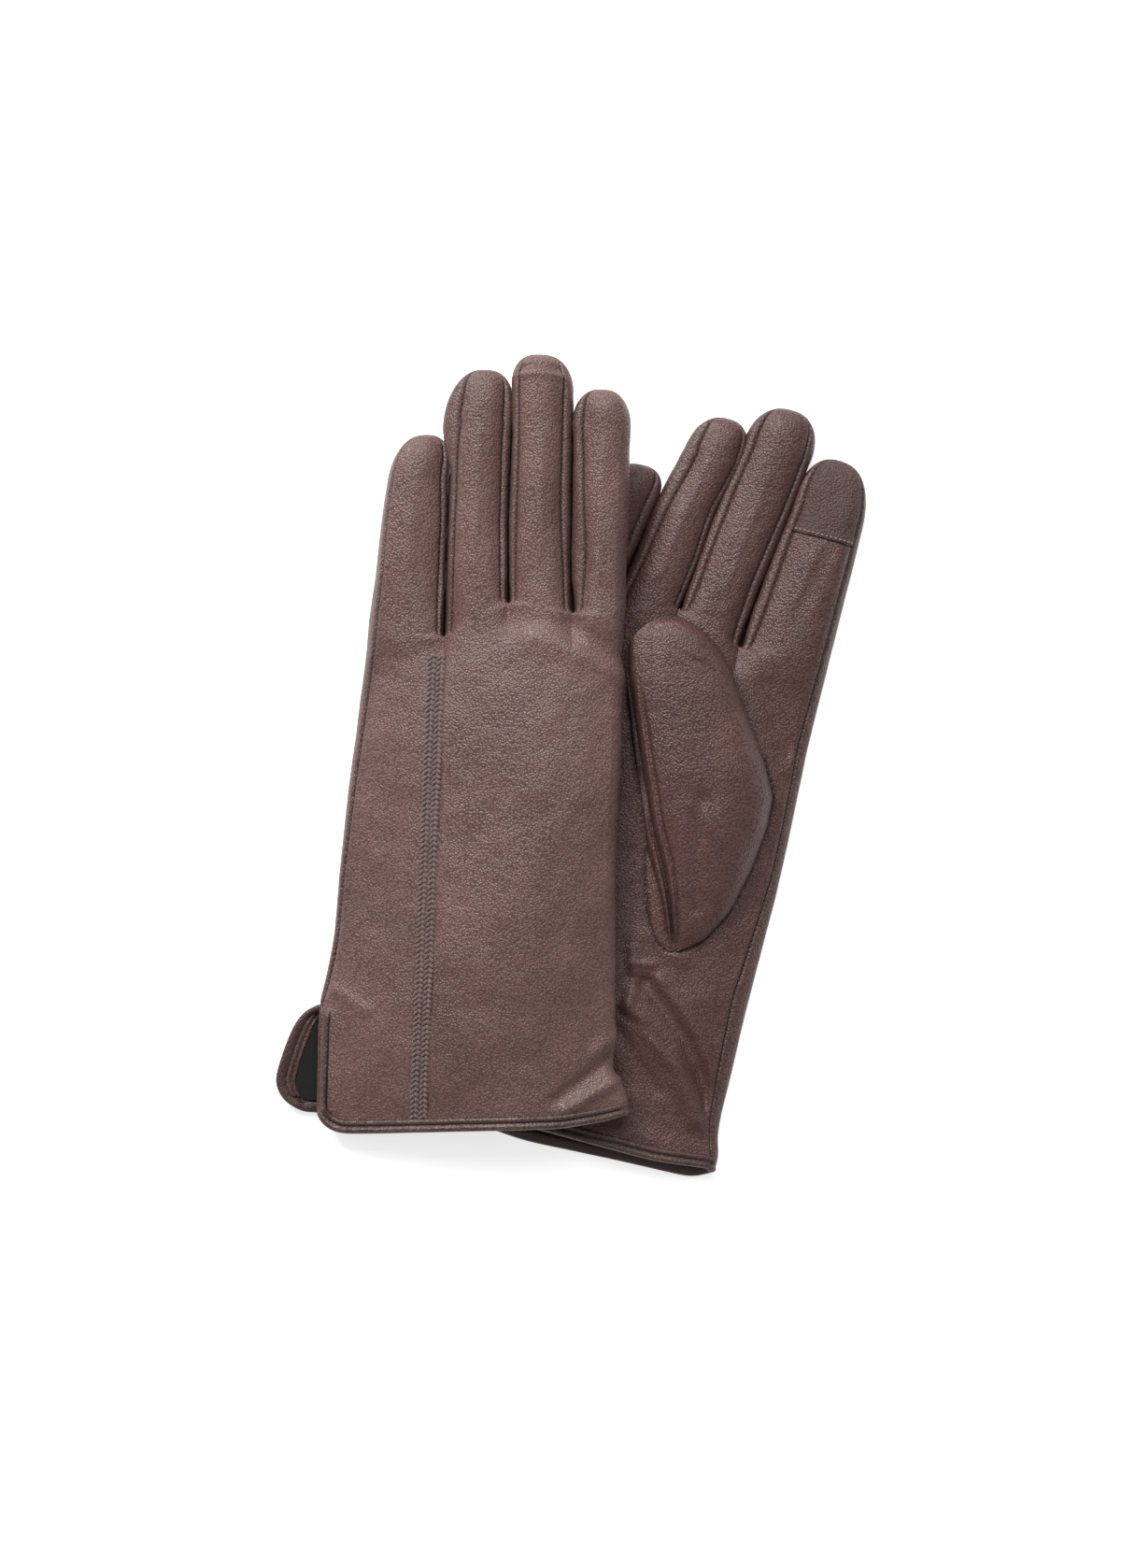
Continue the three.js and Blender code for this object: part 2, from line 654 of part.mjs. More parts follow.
async function build() {
  wasm = await Module();
  wasm.setup();
  const pair = new THREE.Group();
  pair.name = 'touchscreen_gloves';
  pair.add(buildGlove(RIGHT), buildGlove(LEFT));
  pair.updateMatrixWorld(true);
  const box = new THREE.Box3().setFromObject(pair, true);
  const centre = box.getCenter(new THREE.Vector3());
  pair.position.set(-centre.x, -centre.y, -box.min.z);
  return pair;
}

export default await build();
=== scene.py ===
"""Looks of a pair of lined leather gloves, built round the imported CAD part.

Every glove is drawn in its own flat frame in millimetres: x runs from the little
finger to the index finger, y from the hem to the fingertips, z up from the table.
"""
import json
import math
from types import SimpleNamespace as Spec

import bpy
import numpy as np
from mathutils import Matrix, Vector


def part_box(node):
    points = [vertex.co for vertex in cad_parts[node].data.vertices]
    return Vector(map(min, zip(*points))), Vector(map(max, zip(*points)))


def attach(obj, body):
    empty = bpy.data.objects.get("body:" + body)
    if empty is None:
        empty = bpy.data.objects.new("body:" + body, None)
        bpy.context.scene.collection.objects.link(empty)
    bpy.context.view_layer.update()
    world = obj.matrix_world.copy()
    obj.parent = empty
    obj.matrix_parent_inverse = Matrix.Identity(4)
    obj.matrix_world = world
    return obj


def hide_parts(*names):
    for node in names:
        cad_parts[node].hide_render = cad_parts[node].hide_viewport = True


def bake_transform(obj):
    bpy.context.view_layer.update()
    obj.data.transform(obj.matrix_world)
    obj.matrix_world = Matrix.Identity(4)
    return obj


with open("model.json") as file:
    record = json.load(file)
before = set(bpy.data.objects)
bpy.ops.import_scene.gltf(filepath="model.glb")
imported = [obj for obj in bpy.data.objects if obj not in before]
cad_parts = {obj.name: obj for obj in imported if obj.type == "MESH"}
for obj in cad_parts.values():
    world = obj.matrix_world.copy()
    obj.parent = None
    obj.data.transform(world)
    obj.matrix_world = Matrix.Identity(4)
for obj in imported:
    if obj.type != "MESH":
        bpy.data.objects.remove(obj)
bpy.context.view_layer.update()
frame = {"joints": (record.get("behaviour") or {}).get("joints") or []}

MM = 0.001
SKIN = 0.85            # leather thickness
KNIT = 0.5             # lining thickness
FINGER_T = 9.2         # thickness of a finger
FINGER_H1 = 3.3        # half height of a finger's rounded side
HAND_H1 = 2.8
VENT_TOP = 36.0
TOUCH_SEAM = 199.0
THUMB_HINGE = 56.5
THUMB_TIP = 105.0
THUMB_PLACE = (16, 63)
THUMB_ANGLE = math.radians(16)
FORK_ROUND = 2.0       # way past a fork in which its round end opens
BEND_START = 0.8       # way past a fork where a finger starts to bend
BEND_LENGTH = 17.0
FOLD_HEIGHT = 1.8      # strength of the named folds
FACING = 5.0           # width of the leather turned in at the vent's flap
SEAM_DENT = 0.62       # depth of the roll of leather down into a seam
SEAM_THREAD = dict(pitch=1.9, length=1.3, radius=0.15, sink=-0.12)


# ---------------------------------------------------------------- small maths

def curve(*pairs, soft=2.5):
    """Smooth line through the given pairs, rounded over about soft millimetres."""
    xs, ys = np.array(pairs, float).T
    step, pad = 0.5, 25.0
    first = (ys[1] - ys[0]) / (xs[1] - xs[0])
    last = (ys[-1] - ys[-2]) / (xs[-1] - xs[-2])
    xs = np.concatenate([[xs[0] - pad], xs, [xs[-1] + pad]])
    ys = np.concatenate([[ys[0] - first * pad], ys, [ys[-1] + last * pad]])
    grid = np.arange(xs[0], xs[-1], step)
    reach = int(3 * soft / step)
    weights = np.exp(-0.5 * (np.arange(-reach, reach + 1) * step / soft) ** 2)
    flat = np.pad(np.interp(grid, xs, ys), reach, mode="edge")
    values = np.convolve(flat, weights / weights.sum(), mode="valid")
    return lambda v: np.interp(v, grid, values)


def line(*pairs):
    """Straight pieces through the given pairs."""
    xs, ys = zip(*pairs)
    return lambda v: np.interp(v, xs, ys)


def smooth(v, start, end):
    """Soft step from 0 at the start to 1 at the end."""
    t = np.clip((np.asarray(v, float) - start) / (end - start), 0, 1)
    return t * t * (3 - 2 * t)


def bell(v, width):
    """Bell curve: 1 at 0 and about a third of that at the width."""
    return np.exp(-((v / width) ** 2))


def lerp(a, b, t):
    return a + (b - a) * t


NOISE = np.random.default_rng(7).uniform(-1, 1, (256, 256))


def noise(x, y, size):
    """Smooth noise from -1 to 1 with features of about that size."""
    x, y = np.asarray(x, float) / size, np.asarray(y, float) / size
    ix, iy = np.floor(x).astype(int), np.floor(y).astype(int)
    fx, fy = x - ix, y - iy
    fx, fy = fx * fx * (3 - 2 * fx), fy * fy * (3 - 2 * fy)
    def at(a, b):
        return NOISE[(ix + a) % 256, (iy + b) % 256]
    return lerp(lerp(at(0, 0), at(1, 0), fx), lerp(at(0, 1), at(1, 1), fx), fy)


def unit(v):
    return v / np.maximum(np.linalg.norm(v, axis=-1, keepdims=True), 1e-9)


def near_line(x, y, points):
    """Distance from each place to a broken line."""
    best = np.full(np.shape(x), 1e9)
    for (ax, ay), (bx, by) in zip(points[:-1], points[1:]):
        dx, dy = bx - ax, by - ay
        t = np.clip(((x - ax) * dx + (y - ay) * dy) / (dx * dx + dy * dy), 0, 1)
        best = np.minimum(best, np.hypot(x - ax - t * dx, y - ay - t * dy))
    return best


# ---------------------------------------------------------------- the two gloves

def finger(name, left, right, left_strip, right_strip, far, tip):
    """Seam lines, widths of the side strips, start of the rounded end, and the very tip."""
    return Spec(name=name, left=left, right=right, left_strip=left_strip, right_strip=right_strip,
                far=far, tip=tip)


LEFT = Spec(
    name="left", body="left_glove", back_up=True, turn=-2.0, place=(-25.5, -105.3),
    left=curve((0, -51.2), (30, -51.6), (36, -50.9), (39.4, -50.2), (45, -49), (57, -47.1),
               (80, -46), (103.5, -44.2), (127, -41.9), (144, -40.3), (156, -39.6), (168, -38.2),
               (191, -36.4), (200, -35.2)),
    right=curve((0, 47), (5, 46.9), (12, 46), (16.6, 42.9), (31, 41.7), (60, 40.7), (89, 39.9),
                (118, 40.2), (147, 40.1), (188, 39.7), (211, 40)),
    left_arc=3.4, right_arc=3.2,
    left_inset=line((0, 0.9), (45, 0.9), (60, 1.1), (80, 1.4), (150, 2.5), (188, 1.7), (215, 1.6)),
    right_inset=line((0, 2.8), (230, 2.8)), left_seam_up=True, right_seam_up=False,
    hem_up=curve((-51, 3), (-48.8, -1.4), (-46, -3.2), (-42.5, -4.1), (-32.4, -3.5), (-9, -1.8),
                 (25.5, 0.6), (40, 3.4), (47, 5.6), soft=1.6),
    hem_low=curve((-64, 2.2), (-50, 1.8), (-40, 1.4), (20, 2.4), (40, 4.6), (47, 6.6), soft=1.6),
    flap=curve((2, -56.6), (3.2, -59.2), (5.5, -61.6), (10, -63.5), (16, -62.2), (22, -60.4),
               (28, -58.2), (32, -55.6), (36, -51.8), soft=1.0),
    thick=curve((0, 9.6), (15, 11), (50, 12.3), (110, 12.0), (160, 9.2), soft=6),
    crotches=((-16.1, 150.6), (3.8, 161.5), (23.9, 159.2)), base=(149.0, 158.0),
    thumb_height=5.4, thumb_reach=0.7,
)
LEFT.fingers = [
    finger("little", None, curve((148, -17.9), (157, -18.0), (187, -18.0), (205, -18.6)),
           None, line((150, 1.3), (156, 1.6), (187, 2.2), (205, 2.2), (212, 2.2)), 199.0,
           (-23.4, 213.4)),
    finger("ring", curve((148, -14.2), (160, -14.0), (187, -14.1), (210, -13.8), (220, -12.8)),
           curve((160, 1.7), (187, 0.5), (210, 0.3), (220, 0.6)),
           line((150, 1.2), (158, 1.4), (187, 1.6), (202, 1.7), (208, 3.6), (215, 5.4), (226, 5.6)),
           line((160, 1.5), (175, 2.0), (200, 2.3), (226, 3.0)), 217.5, (-5.8, 233.9)),
    finger("middle", curve((159, 5.6), (175, 5.3), (187, 4.9), (212, 4.9), (222, 4.8)),
           curve((157, 21.8), (166, 21.0), (175, 20.2), (199, 19.0), (222, 18.8)),
           line((161, 1.2), (168, 1.6), (187, 1.9), (212, 1.7), (222, 2.0), (232, 2.6)),
           line((160, 1.5), (170, 1.9), (187, 2.7), (222, 3.0)), 228.0, (11.0, 239.0)),
    finger("index", curve((157, 26.1), (163, 26.5), (170, 26.8), (178, 27.0), (193, 26.0),
                                     (210, 24.8)), None,
           line((159, 1.6), (163, 2.3), (170, 3.7), (178, 4.3), (193, 3.5), (210, 2.6), (226, 2.8)),
           None, 217.0, (30.6, 228.8)),
]

RIGHT = Spec(
    name="right", body="right_glove", back_up=False, turn=-15.1, place=(3.5, -108.8),
    left=curve((0, -47), (34, -46.2), (60, -44.5), (110, -46.6), (160, -49.4), (192, -45.6)),
    right=curve((0, 46.2), (5, 46.4), (10, 44.6), (16, 43.8), (28, 43.5), (52, 42.6), (88, 42.4),
                (112, 41.4), (135, 39.9), (159, 39.4), (183, 39), (206, 38.6)),
    left_arc=3.4, right_arc=5.4,
    left_inset=line((0, 2.4), (230, 2.4)),
    right_inset=line((0, 1.6), (10, 2.6), (30, 4.2), (56, 4.9), (78, 3.6), (96, 2.6), (117, 2.7),
                     (137, 3.0), (160, 2.4), (191, 2.0), (215, 1.6)),
    left_seam_up=False, right_seam_up=True,
    hem_up=curve((-47, -1), (-3.4, -0.6), (26.6, -0.6), (46, 1.6)),
    hem_low=curve((-47, -3), (-13.5, -5.4), (15.7, -3.8), (40.4, -2.9), (46.4, 1.0)),
    flap=curve((0, -50.6), (8, -52.6), (16, -52), (24, -50), (32, -48.4), (36, -46.6), soft=1.2),
    thick=curve((0, 8.2), (25, 9.6), (100, 10.2), (166, 9.2), soft=6),
    crotches=((-31.6, 160.8), (-10.3, 166.0), (11.1, 159.8)), base=(158.0, 160.5),
    thumb_height=9.8, thumb_reach=1.0,
)
RIGHT.fingers = [
    finger("little", None, curve((158, -33.2), (176, -31.6), (190, -29.6), (200, -28.2)),
           None, line((160, 1.2), (170, 2.3), (180, 2.9), (204, 3.0)), 195.0, (-32.6, 207)),
    finger("ring", curve((158, -29.6), (168, -27.3), (182, -24.4), (196, -22.2), (208, -19.4)),
           curve((164, -12.0), (174, -10.8), (182, -9.7), (198, -9.0), (208, -6.6)),
           line((160, 1.2), (168, 2.0), (182, 3.1), (196, 4.0), (211, 4.2), (226, 4.2)),
           line((166, 1.3), (182, 1.6), (208, 1.8), (226, 2.0)), 215.0, (-10.8, 227.9)),
    finger("middle", curve((164, -8.3), (171, -7.0), (183, -5.8), (195, -4.7), (208, -3.2),
                                   (216, -2.0)),
           curve((158, 8.8), (165, 8.8), (178, 9.5), (191, 11.2), (206, 13.4), (216, 14.4)),
           line((166, 1.5), (171, 2.5), (183, 3.1), (220, 3.4), (233, 3.0)),
           line((160, 1.5), (165, 2.0), (178, 2.7), (192, 2.8), (206, 2.4), (232, 2.6)), 222.0,
           (7.4, 235.6)),
    finger("index", curve((158, 13.6), (167, 14.8), (174, 15.6), (189, 16.7), (201, 17.6),
                                     (206, 18.2)), None,
           line((160, 1.8), (166, 2.9), (174, 3.5), (189, 3.4), (201, 3.0), (222, 2.6)), None, 205.5,
           (26.2, 224.3)),
]

hinges = {j["name"]: j for j in frame["joints"] if "pos_m" in j}


def turned(glove, vectors):
    """Directions of a glove's own frame in the row's."""
    a = math.radians(glove.turn)
    x, y, z = np.moveaxis(np.asarray(vectors, float), -1, 0)
    return np.stack([x * math.cos(a) - y * math.sin(a), x * math.sin(a) + y * math.cos(a), z], -1)


# The CAD pair is centred on its own box; the left middle finger's hinge ties the frames.
HINGE_AT = (13.25, 160.747)
tie = turned(LEFT, (*HINGE_AT, 0.0)) + np.array((*LEFT.place, 0.0))
CENTRE = tie[:2] - np.array(hinges["left_middle_bend"]["pos_m"][:2]) / MM
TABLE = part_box("right_back_panel")[0].z / MM


def to_row(glove, points):
    """Glove millimetres to row-frame metres, nothing below the table."""
    moved = turned(glove, points) + np.array((*glove.place, 0.0))
    moved[..., 2] = np.maximum(moved[..., 2], 0.0)
    return (moved - np.array((*CENTRE, -TABLE))) * MM


def drape(glove, x, y):
    """Height of what a point of the glove lies on."""
    if glove is RIGHT:
        flap = (1 - smooth(x, -46, -40)) * (1 - smooth(y, 36, 44))
        return 0.95 * np.maximum(1 - smooth(y, 3, 10), flap)
    over_thumb = 5.6 * bell(y - 105, 60)
    shelf = 10.2 + 1.2 + over_thumb
    ramp = 0.9 + 0.225 * np.maximum(x + 45, 0)
    soft = 2.4
    mix = np.clip(0.5 + (shelf - ramp) / (4 * soft), 0, 1)
    return lerp(shelf, ramp, mix) - soft * 2 * mix * (1 - mix)


def forks(glove):
    """Places along the line where the fingers start: both sides and the three forks."""
    y0, y1 = glove.base
    return [(glove.left(y0), y0), *glove.crotches, (glove.right(y1), y1)]


def front(glove, x):
    """Where the fingers start: through the three finger forks."""
    return np.interp(x, *zip(*forks(glove)))


def belly(share):
    """Rise of a face between its two edges."""
    return 1 - np.abs(1 - 2 * np.clip(share, 0, 1)) ** 2.6


# ---------------------------------------------------------------- skin grids

EDGE_STEPS = np.array([0, 0.011, 0.024, 0.042, 0.068])
FACE = np.concatenate([EDGE_STEPS, np.linspace(0.1, 0.9, 19), 1 - EDGE_STEPS[::-1]])
ARC_LONG = np.array([0, 0.1, 0.2, 0.31, 0.42, 0.53, 0.64, 0.74, 0.83, 0.895, 0.935, 0.962, 0.982, 1])
ARC_SHORT = np.array([0, 0.3, 0.55, 0.74, 0.87, 0.95, 1])
STRIP = np.radians(np.linspace(90, -90, 15))
FINGER_ROWS, TIP_ROWS = 52, 22
TIP_POWER = 2.35


def arc(seam_angle, upper):
    """Angles of the part of a folded side that belongs to the upper or the lower skin."""
    if upper:
        steps = ARC_SHORT if np.mean(seam_angle) > 0 else ARC_LONG
        start = math.pi / 2
    else:
        steps = ARC_LONG if np.mean(seam_angle) > 0 else ARC_SHORT
        start = -math.pi / 2
    return lerp(start, seam_angle[:, None], steps[None, 1:])


def seam_angles(glove, y, side):
    """Angle round a folded side at which its seam runs."""
    radius = glove.left_arc if side < 0 else glove.right_arc
    inset = (glove.left_inset if side < 0 else glove.right_inset)(y)
    up = glove.left_seam_up if side < 0 else glove.right_seam_up
    angle = np.arccos(np.clip(1 - inset / radius, -1, 1))
    return angle if up else -angle


def hand_share(glove):
    """Shares across the hand of the columns that run on into the fingers."""
    outer = [place[0] for place in forks(glove)]
    xl, xr = outer[0] + glove.left_arc, outer[-1] - glove.right_arc
    stops = [xl, *outer[1:-1], xr]
    xs, lobes = [], []
    for k in range(4):
        part = lerp(stops[k], stops[k + 1], FACE)
        keep = slice(0 if k == 0 else 1, None)
        xs.append(part[keep])
        lobes.append(((part - outer[k]) / (outer[k + 1] - outer[k]))[keep])
    return (np.concatenate(xs) - xl) / (xr - xl), np.concatenate(lobes)


def fit(glove, x, y, q, share, lobe, mix, scale, lift, upper, floor=None):
    """Height of the skin: q is the sine of the side fold's angle."""
    floor = drape(glove, x, y) if floor is None else floor
    h1 = lerp(HAND_H1, FINGER_H1, mix) * scale
    thick = lerp(glove.thick(y), FINGER_T, mix) * scale
    rise = (thick - 2 * h1) * lerp(belly(share), belly(lobe), mix)
    return floor + lift + h1 * (1 + q) + (rise * np.clip(q, 0, 1) if upper else 0)


def hand_grid(glove, upper, rows):
    """Upper or lower skin of the hand: rows from the hem to the finger forks."""
    hem = glove.hem_up if upper else glove.hem_low
    share, lobe = hand_share(glove)
    s = np.linspace(0, 1, rows)[:, None]
    def y_at(x):
        return lerp(hem(x), front(glove, x), s)
    y_left = lerp(hem(-50.0), glove.base[0], s[:, 0])
    y_right = lerp(hem(46.0), glove.base[1], s[:, 0])
    xl, xr = glove.left(y_left)[:, None], glove.right(y_right)[:, None]
    mix_row = smooth(s, 0.9, 1) ** 1.7
    face_x = lerp(xl + glove.left_arc, xr - glove.right_arc, share[None, :])
    face_y = y_at(face_x)
    whole = (face_x - xl) / (xr - xl)
    q = np.full_like(face_x, 1.0 if upper else -1.0)
    face_z = fit(glove, face_x, face_y, q, whole, lobe[None, :], mix_row, 1, 0, upper)
    parts = [np.stack([face_x, face_y, face_z], -1)]
    for side in (-1, 1):
        edge = xl if side < 0 else xr
        radius = glove.left_arc if side < 0 else glove.right_arc
        inner = edge - side * radius
        angle = arc(seam_angles(glove, y_left if side < 0 else y_right, side), upper)
        x = inner + side * radius * np.cos(angle)
        y = y_at(x)
        base = y_at(inner)
        floor = drape(glove, inner, base)
        at = np.abs(x - edge) / (xr - xl)
        block = (glove.crotches[0][0] - glove.left(glove.base[0]) if side < 0
                 else glove.right(glove.base[1]) - glove.crotches[2][0])
        lobe_at = np.abs(x - edge) / block
        z = fit(glove, x, base, np.sin(angle), at, lobe_at, mix_row, 1, 0, True, floor)
        if side > 0:
            parts.append(np.stack([x, y, z], -1))
            continue
        # Along the vent the two skins part: the upper lies flat, the lower spreads as a flap.
        open_ = 1 - smooth(y_left, VENT_TOP - 3.5, VENT_TOP + 0.5)[:, None]
        spread = np.linspace(0, 1, x.shape[1] + 1)[None, 1:]
        if upper:
            crown = fit(glove, inner, y_at(inner), 1.0, radius / (xr - xl), radius / block, mix_row,
                        1, 0, True)
            z = lerp(z, crown - 1.1 * spread ** 2, open_)
            x = lerp(x, lerp(inner, x[:, -1:], spread), open_)
        else:
            flap_x = lerp(inner, glove.flap(y_left)[:, None], spread)
            flap_z = drape(glove, flap_x, y) + 1.6 * spread ** 3
            x, z = lerp(x, flap_x, open_), lerp(z, flap_z, open_)
        parts.insert(0, np.stack([x, y_at(x), z], -1)[:, ::-1])
    return np.concatenate(parts, 1)


def opening(fork, past, seam, strip):
    """A finger's seam line and strip width, opened from its fork in a round end."""
    grow = np.sqrt(np.clip(1 - (1 - np.clip(past / FORK_ROUND, 0, 1)) ** 2, 0, 1))
    return lerp(fork, seam, grow), strip * grow


def finger_frames(glove, k):
    """Rows of one finger: the two seam lines, strip widths and the tip's roundness."""
    f = glove.fingers[k]
    (x0l, y0l), (x0r, y0r) = forks(glove)[k:k + 2]
    t = np.linspace(0, 1, FINGER_ROWS) ** 1.2
    if f.name == "index":
        fine = np.array([-1.2, -0.7, -0.4, -0.2, 0, 0.2, 0.4, 0.7, 1.2])
        t = np.unique(np.concatenate([t, (TOUCH_SEAM + fine - y0l) / (f.far - y0l)]))
    rows = len(t)
    yl, yr = lerp(y0l, f.far, t), lerp(y0r, f.far, t)
    turn = np.radians(np.linspace(0, 90, TIP_ROWS + 1))[1:]
    along = np.sin(turn) ** (2 / TIP_POWER)
    width = np.append(np.cos(turn[:-1]) ** (2 / TIP_POWER), 0.0)
    tip_y = lerp(f.far, f.tip[1], along)
    if k == 0:
        left, sl = glove.left(yl) + glove.left_arc, np.full(rows, glove.left_arc)
    else:
        left, sl = opening(x0l, yl - y0l, f.left(yl), f.left_strip(yl))
    if k == 3:
        right, sr = glove.right(yr) - glove.right_arc, np.full(rows, glove.right_arc)
    else:
        right, sr = opening(x0r, yr - y0r, f.right(yr), f.right_strip(yr))
    tsl = np.full(TIP_ROWS, sl[-1]) if k == 0 else f.left_strip(tip_y)
    tsr = np.full(TIP_ROWS, sr[-1]) if k == 3 else f.right_strip(tip_y)
    centre = lerp((left[-1] - sl[-1] + right[-1] + sr[-1]) / 2, f.tip[0], along)
    half = ((right[-1] + sr[-1]) - (left[-1] - sl[-1])) / 2 * width
    fade = 1 - 0.9 * along ** 3
    share_l = np.clip(tsl / ((right[-1] - left[-1]) / 2 + tsl), 0, 0.8) * fade
    share_r = np.clip(tsr / ((right[-1] - left[-1]) / 2 + tsr), 0, 0.8) * fade
    left = np.append(left, centre - half * (1 - share_l))
    right = np.append(right, centre + half * (1 - share_r))
    sl, sr = np.append(sl, half * share_l), np.append(sr, half * share_r)
    scale = np.append(np.ones(rows), np.clip(1 - along ** 3.2, 0, 1) ** 0.5)
    return Spec(yl=np.append(yl, tip_y), yr=np.append(yr, tip_y), left=left, right=right, sl=sl,
                sr=sr, scale=scale, t=np.append(t, np.ones(TIP_ROWS)), y0=(y0l, y0r))


def finger_floor(glove, k, x, y, far_mix):
    """What a finger lies on: the hand's slope at its root, level toward its tip."""
    (x0l, y0l), (x0r, y0r) = forks(glove)[k:k + 2]
    level = drape(glove, (x0l + x0r) / 2, (y0l + y0r) / 2)
    return lerp(drape(glove, x, np.minimum(y, y0l + 8)), level, far_mix)


def finger_grids(glove, k):
    """Upper and lower skin and the side strips of one finger, rows from its fork."""
    fr = finger_frames(glove, k)
    def col(v):
        return v[:, None]
    share = FACE[None, :]
    lift = col(0.42 * FINGER_T * (1 - fr.scale))
    far_mix = col(smooth(fr.t, 0, 0.5))
    out = {}
    # Where there is no neighbour, the foot of the side doesn't spread.
    half_l, spread_l = (0, 0 * fr.yl) if k == 0 else lean(glove, k - 1, fr.yl)
    half_r, spread_r = (0, 0 * fr.yr) if k == 3 else lean(glove, k, fr.yr)
    foot_l, foot_r = fr.sl + half_l, fr.sr + half_r
    more_l, more_r = fr.sl * (k == 0), fr.sr * (k == 3)
    width = np.maximum(fr.right - fr.left + more_l + more_r, 1e-6)
    lobe = (share * col(fr.right - fr.left) + col(more_l)) / col(width)
    sides = {-1: (fr.yl, col(fr.left), col(fr.sl), foot_l, spread_l),
             1: (fr.yr, col(fr.right), col(fr.sr), foot_r, spread_r)}
    for upper in (True, False):
        out_l, out_r = (0, 0) if upper else (foot_l * spread_l, foot_r * spread_r)
        x = lerp(col(fr.left - out_l), col(fr.right + out_r), share)
        y = lerp(col(fr.yl), col(fr.yr), share)
        q = np.full_like(x, 1.0 if upper else -1.0)
        floor = finger_floor(glove, k, x, y, far_mix)
        z = fit(glove, x, y, q, lobe, lobe, 1.0, col(fr.scale), lift, upper, floor)
        parts = [np.stack([x, y, z], -1)]
        for side, single in ((-1, k == 0), (1, k == 3)):
            if not single:
                continue
            edge_y, inner, radius = sides[side][:3]
            angle = arc(seam_angles(glove, edge_y, side), upper)
            ax = inner + side * radius * np.cos(angle)
            ay = np.broadcast_to(col(edge_y), ax.shape)
            afloor = finger_floor(glove, k, inner, ay, far_mix)
            at = radius * (1 - np.cos(angle)) / col(width)
            az = fit(glove, ax, ay, np.sin(angle), at, at, 1.0, col(fr.scale), lift, True, afloor)
            points = np.stack([ax, ay, az], -1)
            parts = [points[:, ::-1], *parts] if side < 0 else [*parts, points]
        out["up" if upper else "low"] = np.concatenate(parts, 1)
    for side, name in ((-1, "strip_l"), (1, "strip_r")):
        if (side < 0 and k == 0) or (side > 0 and k == 3):
            continue
        edge_y, inner, radius, foot, spread = sides[side]
        angle = STRIP[None, ::side]
        way = col(spread) * smooth(-np.sin(angle), 0, 0.75)
        x = inner + side * lerp(radius * np.cos(angle), col(foot), way)
        y = np.broadcast_to(col(edge_y), x.shape)
        floor = finger_floor(glove, k, inner, y, far_mix)
        z = fit(glove, x, y, np.sin(angle), 0, 0, 1.0, col(fr.scale), lift, True, floor)
        out[name] = np.stack([x, y, z], -1)
    return out, fr


def lean(glove, fork, y):
    """Half the gap between two neighbours' sides, and how far their feet spread into it."""
    a, b = glove.fingers[fork], glove.fingers[fork + 1]
    gap = b.left(y) - b.left_strip(y) - a.right(y) - a.right_strip(y)
    end = min(a.far, b.far)
    grow = smooth(y - glove.crotches[fork][1], -0.2, 0.8) * (1 - smooth(y, end - 1, end + 7))
    return np.clip(gap / 2, -1.2, 1.6) - 0.03, grow


def normals_of(grid, side=1):
    """Normals of a grid; side is -1 where its outside faces the other way."""
    n = side * unit(np.cross(np.gradient(grid, axis=1), np.gradient(grid, axis=0)))
    if np.ptp(grid[-1], axis=0).max() < 0.3:
        n[-1] = unit(grid[-1].mean(0) - grid[-7].mean(0))
        n[-2] = unit(n[-2] + 0.8 * n[-1])
    return n


def run_lengths(grid):
    """Distance of every point from the first and from the last column of its row."""
    steps = np.linalg.norm(np.diff(grid, axis=1), axis=2)
    from_start = np.concatenate([np.zeros((len(grid), 1)), np.cumsum(steps, 1)], 1)
    return from_start, from_start[:, -1:] - from_start


def row_width(grid):
    """Width of every row of a grid."""
    return run_lengths(grid)[0][:, -1]


def dent(distance, depth=SEAM_DENT, reach=0.46):
    """The roll of a skin's edge down into its seam."""
    return depth * bell(distance, reach)


# ---------------------------------------------------------------- folds and wrinkles

